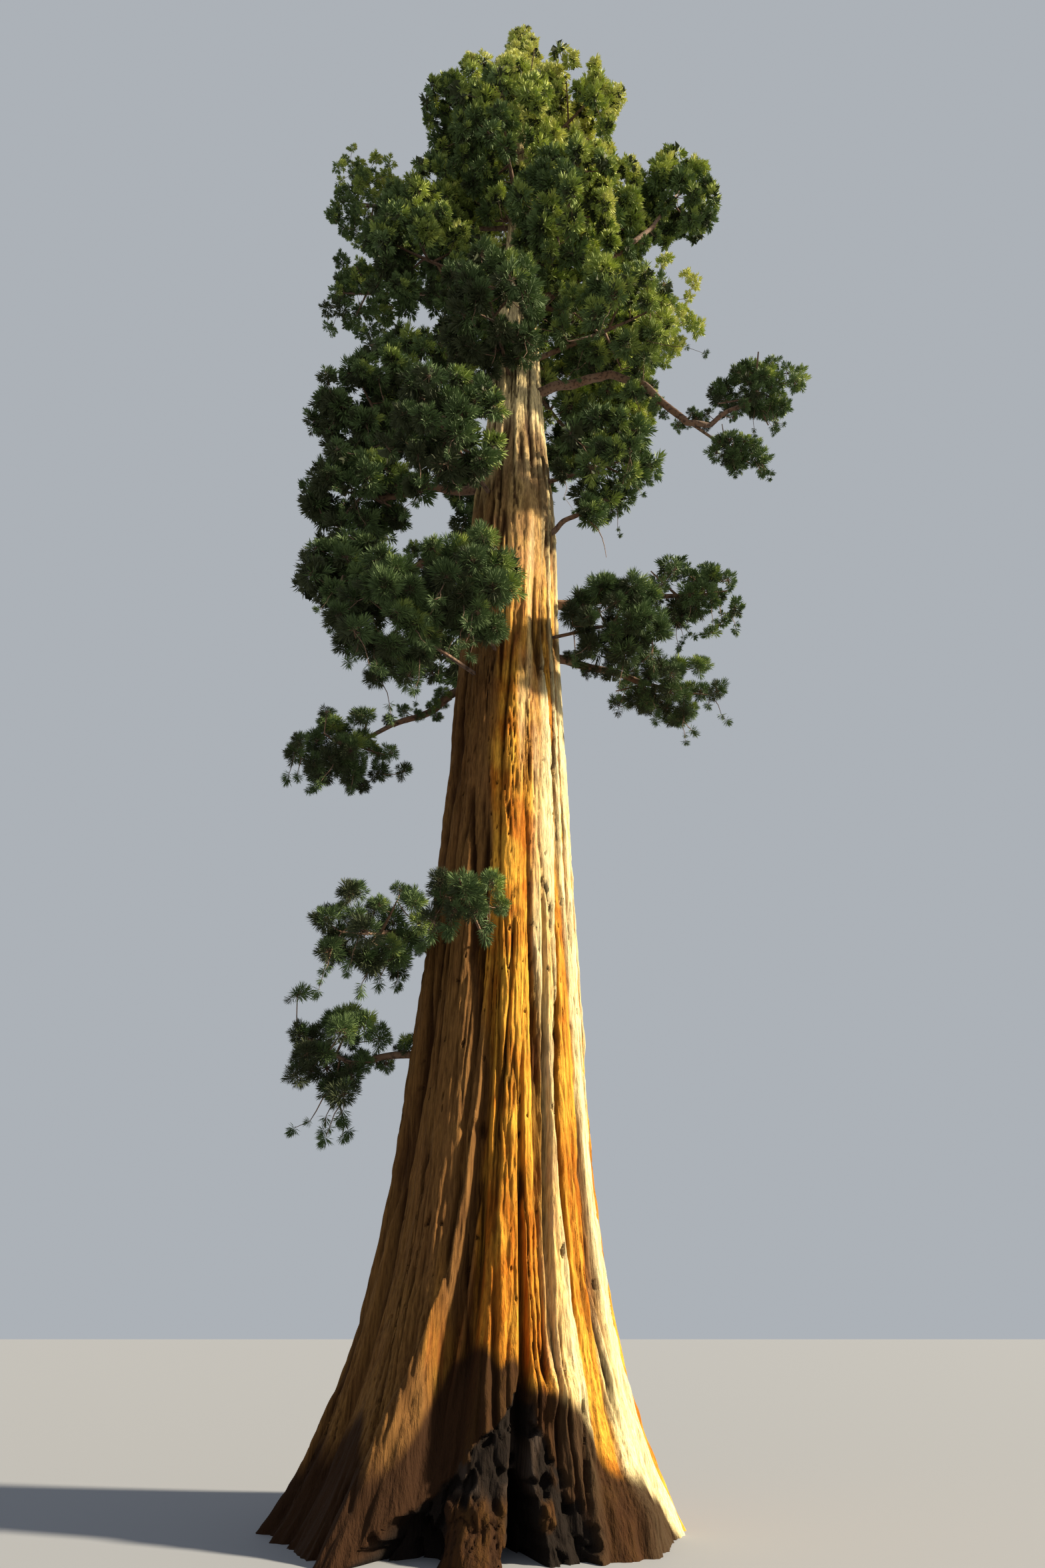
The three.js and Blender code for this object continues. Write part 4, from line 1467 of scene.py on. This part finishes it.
    def grow(self) -> None:
        """Grows every mass, then the shoots along the trunk and the tuft on the dead limb."""
        for index, mass in enumerate(self.masses):
            self.grow_mass(mass, index)
        self.grow_leader()
        self.grow_tuft()

    def grow_leader(self) -> None:
        """Grows short shoots along the trunk in the crown, so that it isn't bare between the tiers."""
        random = np.random.default_rng(self.seed + 100)
        centres = np.array([mass.centre for mass in self.masses])
        for i, height in enumerate(np.linspace(*self.leader_heights, self.leader_clumps)):
            way = direction(GOLDEN_ANGLE * i, 0.25)
            # Every third shoot is on the far side, where fewer masses stand
            if i % 3 == 0:
                way[1] = abs(way[1])
            foot = np.array([self.trunk.axis(height), 0, height])
            at_tip, slope, widest = self.leader_cone
            cone = min(slope * (self.trunk.height - height) + at_tip, widest)
            reach = self.trunk.mean_radius(height) + self.leader_gap + cone * random.uniform(0.3, 1.0)
            centre = self.within_outline((foot + way * reach)[None])[0]
            mass = self.masses[int(np.argmin(np.linalg.norm(centres - centre, axis=1)))]
            size = self.clump_radius * random.uniform(0.8, 1.05)
            self.grow_clump(mass, centre, way, size, [(foot, 0.02)], random, held=False)

    def grow_tuft(self) -> None:
        """Grows the tuft on the dead limb, and the thin dead twig that hangs from it."""
        random = np.random.default_rng(self.seed)
        limb, owner = self.tufted_limb
        mass = next(mass for mass in self.masses if mass.name == owner)
        tip = self.boughs.curves[limb][-1]
        size = 0.9 * self.clump_radius
        for offset in self.tuft_offsets:
            way = unit(np.array(offset))
            self.grow_clump(mass, tip + offset, way, size, [(tip, 0.012)], random, held=False)
        share = np.linspace(0, 1, 7)[:, None]
        bow = np.array([0.10, 0, 0.12]) * np.sin(math.pi * share)
        dead = tip + np.array([0.34, -0.1, -1.1]) * share + bow
        self.growth.twigs.append((dead, np.linspace(0.014, 0.004, 7)))

    def grow_mass(self, mass: Mass, index: int) -> None:
        """Grows one mass: stem, main twigs, branches to the clumps, and the sprays of each clump.

        Args:
            mass: the mass.
            index: its number, which seeds it.
        """
        random = np.random.default_rng(self.seed + index)
        stem = self.stem(mass)
        lead = unit(stem[-1] - stem[0])
        girth = mass.half[0] * self.stem_share
        self.growth.twigs.append((stem, np.linspace(girth, girth * 0.6, len(stem))))
        joints = [(point, girth * 0.5) for point in stem[3:]]
        rise = 1 - self.twig_fall * np.arange(self.main_twigs) / (self.main_twigs - 1)
        turn = GOLDEN_ANGLE * np.arange(self.main_twigs) + index + 1
        side, up = frame_round(lead)
        for i in range(self.main_twigs):
            across = math.sqrt(1 - rise[i] ** 2)
            way = rise[i] * lead + across * (math.cos(turn[i]) * side + math.sin(turn[i]) * up)
            start = mass.centre - lead * i * self.twig_spacing * mass.half[0]
            reach = mass.reach(way[None])[0] * 0.55
            share = np.linspace(0, 1, 4)[:, None]
            route = start + way * reach * share + np.array([0, 0, 0.1 * reach]) * share**2
            self.growth.twigs.append((route, np.linspace(girth * 0.55, girth * 0.25, 4)))
            joints += [(point, girth * 0.35) for point in route[1:]]

        low = mass.centre[2] < self.fine_below
        radius = self.clump_radius * (self.fine_scale if low else 1.0)
        radius = radius * (1.0 if mass.dense else self.open_scale)
        cover = self.clump_cover if mass.dense else self.open_cover
        surface = 2 * math.pi * mass.half[0] * (mass.half[0] + mass.half[1]) * 0.8
        count = round(surface * cover / (math.pi * radius**2))
        ways = golden_cap(lead, count, -0.97, random.uniform(0, 6.28))
        ways = unit(ways + self.scatter * random.normal(size=ways.shape))
        reach = mass.reach(ways)
        filled = np.minimum(reach, 1 / np.linalg.norm(ways / (mass.size * mass.fill), axis=-1))
        filled = filled * (1 + self.lumpiness * GradientNoise(self.seed + index)(ways * 1.9))
        lowest, highest = self.clump_shell if mass.dense else self.open_shell
        shell = (filled - 0.8 * radius).clip(0) * random.uniform(lowest, highest, size=count) ** 0.6
        centres = self.within_outline(mass.centre + ways * shell[:, None])
        spared = random.uniform(size=count) < self.hidden_share
        in_view = (reach > self.hidden_below * mass.own_reach(ways)) | spared
        kept = self.clear_of_trunk(centres) & in_view
        for i in np.argsort(shell):
            if kept[i]:
                size = radius * random.uniform(0.75, 1.2)
                self.grow_clump(mass, centres[i], ways[i], size, joints, random)
        if mass.host != "trunk":
            self.grow_along_limb(mass, radius, random)
        if mass.centre[2] < self.broad_above:
            self.hang_twigs(mass, joints, random)

    def grow_along_limb(self, mass: Mass, radius: float, random: np.random.Generator) -> None:
        """Grows clumps along the outer half of the limb that bears a mass.

        Args:
            mass: the mass, which the clumps belong to.
            radius: the size of its clumps.
            random: the mass's own random numbers.
        """
        route = self.boughs.curves[mass.host]
        start = 0 if "long_bough_tip" in mass.host else len(route) // 2
        for spot in np.linspace(start, len(route) - 2, self.limb_clumps).astype(int):
            away = unit(np.append(random.normal(size=2), random.uniform(-0.6, 1.0)))
            joint = (route[spot], radius * 0.06)
            size = radius * random.uniform(0.5, 0.8)
            self.grow_clump(mass, route[spot] + away * radius * 0.8, away, size, [joint], random, held=False)

    def hang_twigs(
        self, mass: Mass, joints: list[tuple[np.ndarray, float]], random: np.random.Generator
    ) -> None:
        """Hangs thin twigs, bare but for a few sprays near their ends, from the lower side of a mass.

        Args:
            mass: the mass.
            joints: places on its twigs with the girth there.
            random: the mass's own random numbers.
        """
        low = [joint for joint in joints if joint[0][2] < mass.centre[2] - 0.25 * mass.half[1]]
        for _ in range(self.hanging_twigs if low else 0):
            start = low[random.integers(len(low))][0]
            drop = mass.half[1] * random.uniform(0.35, 0.75)
            swing = np.append(random.normal(size=2) * 0.25 * drop, -drop)
            share = np.linspace(0, 1, 5)[:, None]
            route = start + swing * share + 0.05 * drop * random.normal(size=(5, 3)) * share
            self.growth.twigs.append((route, np.linspace(0.008, 0.003, 5)))
            headings = unit(unit(swing) + 0.35 * random.normal(size=(3, 3)))
            kind = Spray.FINE if mass.centre[2] < self.fine_below else Spray.MIDDLE
            # Painted shade on the sprays of the hanging twigs
            tints = np.full(3, list(Tint).index(Tint.SHADED))
            lengths = random.uniform(0.3, 0.5, size=3) * self.clump_radius
            self.growth.spray(kind, self.masses.index(mass), route[[3, 4, 4]], headings, lengths, tints)

    def grow_clump(
        self,
        mass: Mass,
        centre: np.ndarray,
        way: np.ndarray,
        radius: float,
        joints: list[tuple[np.ndarray, float]],
        random: np.random.Generator,
        held: bool = True,
    ) -> None:
        """Grows one clump from the nearest joint of the twigs.

        Args:
            mass: the mass that it is in.
            centre: its middle.
            way: the direction out of the mass.
            radius: how far its sprays reach from its middle.
            joints: places on the twigs so far with the girth there, which the clump's own branch joins.
            random: the mass's own random numbers.
            held: whether its sprays keep to the mass's own space.
        """
        spots = np.array([joint[0] for joint in joints])
        nearest = int(np.argmin(np.linalg.norm(spots - centre, axis=1)))
        start, girth = joints[nearest]
        share = np.linspace(0, 1, 4)[:, None]
        length = np.linalg.norm(centre - start)
        sag = np.array([0, 0, -0.10 * length]) * np.sin(math.pi * share)
        bend = 0.04 * length * random.normal(size=3) * share * (1 - share)
        route = start + (centre - start) * share + sag + bend
        thick = max(girth * 0.6, self.thin_twig)
        self.growth.twigs.append((route, np.linspace(thick, self.thin_twig, 4)))
        joints += [(route[2], thick * 0.8), (route[3], thick * 0.6)]

        kind = Spray.FINE if mass.centre[2] < self.fine_below else Spray.MIDDLE
        if mass.centre[2] > self.broad_above:
            kind = Spray.CROWN
        axis = unit(way + np.array([0, 0, 0.3]))
        more = self.fine_sprays if kind is Spray.FINE else 1.0
        count = round(self.sprays_per_clump * more * random.uniform(0.85, 1.15))
        ways = golden_cap(axis, count, self.cap_edge, random.uniform(0, 6.28))
        ways = unit(ways + self.scatter * random.normal(size=ways.shape))
        feet = centre + ways * (radius * random.uniform(*self.spray_feet, size=count))[:, None]
        headings = unit(ways + np.array([0, 0, self.upturn]))
        lengths = radius * random.uniform(*self.spray_lengths, size=count)
        tips = feet + headings * lengths[:, None]
        kept = (mass.holds(tips, self.overhang) | (not held)) & self.clear_of_trunk(tips)
        if not kept.any():
            return
        # High up, the short twigs under the sprays are too small to show
        for foot in feet[kept] if kind is not Spray.CROWN else []:
            short = np.array([centre - 0.1 * (foot - centre), foot])
            self.growth.twigs.append((short, np.array([self.thin_twig, 0.004])))
        owner = self.masses.index(mass)
        tints = self.tint(mass, centre, ways[kept], random)
        self.growth.spray(kind, owner, feet[kept], headings[kept], lengths[kept], tints)
        if mass.dense:
            # Dark sprays deep in the clump: painted shade inside it
            deep = unit(random.normal(size=(self.deep_sprays, 3)) - 0.5 * way)
            start = np.repeat(centre[None], self.deep_sprays, axis=0)
            inner = np.full(self.deep_sprays, list(Tint).index(Tint.INNER))
            lengths = np.full(self.deep_sprays, radius * 0.85)
            self.growth.spray(Spray.DEEP, owner, start, deep, lengths, inner)

    def tint(
        self, mass: Mass, centre: np.ndarray, ways: np.ndarray, random: np.random.Generator
    ) -> np.ndarray:
        """The tint of each spray of a clump, painted lighter the more openly it stands to the sun.

        Args:
            mass: the mass that the clump is in.
            centre: the clump's middle.
            ways: the directions of the sprays in the clump.
            random: the mass's own random numbers.

        Returns:
            The tint's number for each spray.
        """
        sun = direction(math.radians(SUN_AZIMUTH), math.radians(SUN_HEIGHT))
        outward = unit(centre - mass.centre)
        from_trunk = unit(centre - np.array([self.trunk.axis(centre[2]), 0, centre[2] - 1.0]))
        height = np.interp(centre[2], self.tint_heights, self.tint_shifts)
        by_way, by_outward, by_trunk = self.sun_weights
        open_to_sun = by_way * (ways @ sun) + by_outward * (outward @ sun) + by_trunk * (from_trunk @ sun)
        share = self.tint_start + self.tint_sun * open_to_sun + height + mass.lit
        by_clump, by_spray = self.tint_scatter
        share = share + by_clump * random.normal() + by_spray * random.normal(size=len(ways))
        return np.clip(np.floor(share * len(Tint)), 0, len(Tint) - 1).astype(int)

    @staticmethod
    def spray_shapes(kind: SprayKind) -> list[bpy.types.Object]:
        """Three shapes of one spray, a unit long: pointed blades that stand forward round a short axis.

        Args:
            kind: the kind of spray.

        Returns:
            The shapes, which stay out of the scene.
        """
        shapes = []
        for variant in range(3):
            random = np.random.default_rng(50 + variant)
            points, faces = [], []
            for i in range(kind.shoots):
                share = i / (kind.shoots - 1)
                lean = math.radians(kind.lean * (1 - share) + 6) * random.uniform(0.8, 1.15)
                along = direction(GOLDEN_ANGLE * i + random.uniform(-0.4, 0.4), math.pi / 2 - lean)
                side = unit(np.cross(along, random.normal(size=3)))
                length = kind.shoot_share * random.uniform(0.8, 1.1)
                foot = np.array([0, 0, (1 - kind.shoot_share) * share])
                widest = foot + along * length * random.uniform(0.45, 0.7) + side * length * kind.slim
                faces.append((len(points), len(points) + 1, len(points) + 2))
                points += [foot, widest, foot + along * length]
            mesh = bpy.data.meshes.new("spray_shape")
            mesh.from_pydata([tuple(point) for point in points], [], faces)
            shapes.append(bpy.data.objects.new("spray_shape", mesh))
        return shapes

    @staticmethod
    def spray_rule() -> NodeRule:
        """The Geometry Nodes rule that sets a spray on every point, along its heading.

        Returns:
            The rule, with the three shapes and the seed as its inputs.
        """
        inputs = {f"Shape {i}": "Object" for i in (1, 2, 3)}
        rule = NodeRule("sprays_on_twigs", {**inputs, "Seed": "Int", "Material": "Material"})
        tree, start = rule.tree, rule.start
        shapes = [
            add_node(
                tree, "GeometryNodeObjectInfo", {"Object": start.outputs[name], "As Instance": True}
            ).outputs["Geometry"]
            for name in reversed(inputs)
        ]
        choice = add_node(tree, "GeometryNodeJoinGeometry", {"Geometry": shapes}).outputs[0]
        heading = add_node(
            tree, "GeometryNodeInputNamedAttribute", {"Name": "heading"}, data_type="FLOAT_VECTOR"
        ).outputs[0]
        length = add_node(
            tree, "GeometryNodeInputNamedAttribute", {"Name": "length"}, data_type="FLOAT"
        ).outputs[0]
        along = add_node(tree, "FunctionNodeAlignRotationToVector", {"Vector": heading}, axis="Z").outputs[0]
        roll = add_node(
            tree,
            "FunctionNodeRandomValue",
            {2: 0.0, 3: 2 * math.pi, "Seed": start.outputs["Seed"]},
            data_type="FLOAT",
        ).outputs[1]
        rolled = add_node(
            tree, "FunctionNodeAxisAngleToRotation", {"Axis": (0, 0, 1), "Angle": roll}
        ).outputs[0]
        turned = add_node(
            tree,
            "FunctionNodeRotateRotation",
            {"Rotation": along, "Rotate By": rolled},
            rotation_space="LOCAL",
        ).outputs[0]
        pick = add_node(
            tree, "FunctionNodeRandomValue", {4: 0, 5: 2, "Seed": start.outputs["Seed"]}, data_type="INT"
        ).outputs[2]
        sprays = add_node(
            tree,
            "GeometryNodeInstanceOnPoints",
            {
                "Points": start.outputs["Geometry"],
                "Instance": choice,
                "Pick Instance": True,
                "Instance Index": pick,
                "Rotation": turned,
                "Scale": length,
            },
        ).outputs[0]
        rule.close(sprays)
        return rule

    def build_needles(self) -> list[bpy.types.Object]:
        """Builds the needles, one piece for each kind and tint, or more where it would be too large.

        Returns:
            The pieces.
        """
        feet, headings, lengths, tints, kinds, owners = (
            np.concatenate(column) for column in zip(*self.growth.sprays)
        )
        rule = self.spray_rule()
        materials = [tint.value.material() for tint in Tint]
        made = []
        for kind_number, kind in enumerate(Spray):
            shapes = self.spray_shapes(kind.value)
            most = MOST_TRIANGLES // kind.value.shoots
            for number, tint in enumerate(Tint):
                rows = np.flatnonzero((tints == number) & (kinds == kind_number))
                for part in range(math.ceil(len(rows) / most)):
                    chunk = rows[part * most : (part + 1) * most]
                    name = f"{kind.value.name}_{tint.value.name}_{part + 1}"
                    mesh = bpy.data.meshes.new(name)
                    mesh.from_pydata(feet[chunk].tolist(), [], [])
                    heading = mesh.attributes.new("heading", "FLOAT_VECTOR", "POINT").data
                    heading.foreach_set("vector", headings[chunk].astype(np.float32).ravel())
                    length = mesh.attributes.new("length", "FLOAT", "POINT").data
                    length.foreach_set("value", lengths[chunk].astype(np.float32))
                    source = bpy.data.objects.new(name + "_feet", mesh)
                    bpy.context.scene.collection.objects.link(source)
                    values = {f"Shape {i + 1}": shape for i, shape in enumerate(shapes)}
                    values |= {"Seed": 7 + part, "Material": materials[number]}
                    piece = rule.run(name, source, values)
                    belongs(piece, sorted({self.masses[i].name for i in owners[chunk]}))
                    made.append(piece)
            for shape in shapes:
                bpy.data.objects.remove(shape)
        return made

    def twig_rule(self) -> NodeRule:
        """The Geometry Nodes rule that gives every twig its girth, as a thin tube.

        Returns:
            The rule.
        """
        rule = NodeRule("twigs_along_lines", {"Sides": "Int", "Material": "Material"})
        tree, start = rule.tree, rule.start
        lines = add_node(tree, "GeometryNodeMeshToCurve", {"Mesh": start.outputs["Geometry"]}).outputs[0]
        girth = add_node(
            tree, "GeometryNodeInputNamedAttribute", {"Name": "girth"}, data_type="FLOAT"
        ).outputs[0]
        ring = add_node(
            tree, "GeometryNodeCurvePrimitiveCircle", {"Resolution": start.outputs["Sides"], "Radius": 1.0}
        ).outputs[0]
        tubes = add_node(
            tree, "GeometryNodeCurveToMesh", {"Curve": lines, "Profile Curve": ring, "Scale": girth}
        ).outputs[0]
        rule.close(tubes)
        return rule

    def build_twigs(self) -> list[bpy.types.Object]:
        """Builds the twigs of the low foliage and of the crown, each joined.

        Returns:
            The two pieces.
        """
        rule = self.twig_rule()
        material = LimbFinish("twig_bark", "#6d4a35", "#84705f").material()
        made = []
        for name, low, high in (("low_twigs", 0.0, self.fine_below), ("crown_twigs", self.fine_below, 99.0)):
            points, edges, girths = [], [], []
            for route, girth in self.growth.twigs:
                if not low <= route[-1][2] < high:
                    continue
                first = len(points)
                points += route.tolist()
                girths += girth.tolist()
                edges += [(first + i, first + i + 1) for i in range(len(route) - 1)]
            mesh = bpy.data.meshes.new(name)
            mesh.from_pydata(points, edges, [])
            mesh.attributes.new("girth", "FLOAT", "POINT").data.foreach_set("value", girths)
            source = bpy.data.objects.new(name + "_lines", mesh)
            bpy.context.scene.collection.objects.link(source)
            piece = rule.run(name, source, {"Sides": self.twig_sides, "Material": material})
            nodes = [mass.name for mass in self.masses if low <= mass.centre[2] < high]
            belongs(piece, nodes)
            made.append(piece)
        return made


@dataclass
class Studio:
    """The camera of the photograph, a plain pale floor and plain soft light."""

    camera_at: tuple[float, float, float] = (0.30, -7.60, 1.12)
    tilt: float = 35.0
    lens: float = 18.0
    sensor: float = 36.0
    floor_size: float = 400.0
    floor: PlainFinish = PlainFinish("pale_floor", "#888b92", 0.9)
    sky: str = "#dfe6ee"
    sky_strength: float = 0.56
    sun_strength: float = 10.5
    sun_spread: float = 4.0
    sun_colour: str = "#fff0d2"

    def build(self) -> None:
        """Builds the camera, the floor and the lights."""
        camera = bpy.data.objects.new("camera", bpy.data.cameras.new("camera"))
        camera.location = self.camera_at
        camera.rotation_euler = (math.radians(90 + self.tilt), 0, 0)
        camera.data.lens = self.lens
        camera.data.sensor_width = self.sensor
        camera.data.clip_end = 2 * self.floor_size
        bpy.context.scene.collection.objects.link(camera)
        bpy.context.scene.camera = camera
        half = self.floor_size / 2
        corners = np.array([[-half, -half, 0], [half, -half, 0], [half, half, 0], [-half, half, 0]])
        mesh_object("floor", corners, [(0, 1, 2, 3)], self.floor.material())
        # A plain curve: a filmic one turns bark in full sun from gold to salmon
        bpy.context.scene.view_settings.view_transform = "Standard"
        world = bpy.data.worlds.new("studio_air")
        world.use_nodes = True
        background = world.node_tree.nodes["Background"]
        background.inputs["Color"].default_value = linear(self.sky)
        background.inputs["Strength"].default_value = self.sky_strength
        bpy.context.scene.world = world
        sun = bpy.data.objects.new("soft_key", bpy.data.lights.new("soft_key", "SUN"))
        sun.data.energy = self.sun_strength
        sun.data.angle = math.radians(self.sun_spread)
        sun.data.color = linear(self.sun_colour)[:3]
        towards = direction(math.radians(SUN_AZIMUTH), math.radians(SUN_HEIGHT))
        sun.rotation_euler = Vector(towards).to_track_quat("Z", "Y").to_euler()
        bpy.context.scene.collection.objects.link(sun)


def main() -> None:
    """Builds the studio and the tree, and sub-assembly by sub-assembly."""
    logging.basicConfig(level=logging.INFO, format="%(name)s: %(message)s")
    Studio().build()
    trunk = Trunk()
    for piece in trunk.build():
        belongs(piece, ["trunk"])
    boughs = Boughs(trunk)
    for row, piece in zip(boughs.rows, boughs.build()):
        belongs(piece, [row.name])
    foliage = Foliage(trunk, boughs)
    foliage.grow()
    foliage.build_needles()
    foliage.build_twigs()
    log.info("box of the solids %s", CAD_BOX)


if __name__ == "__main__":
    main()
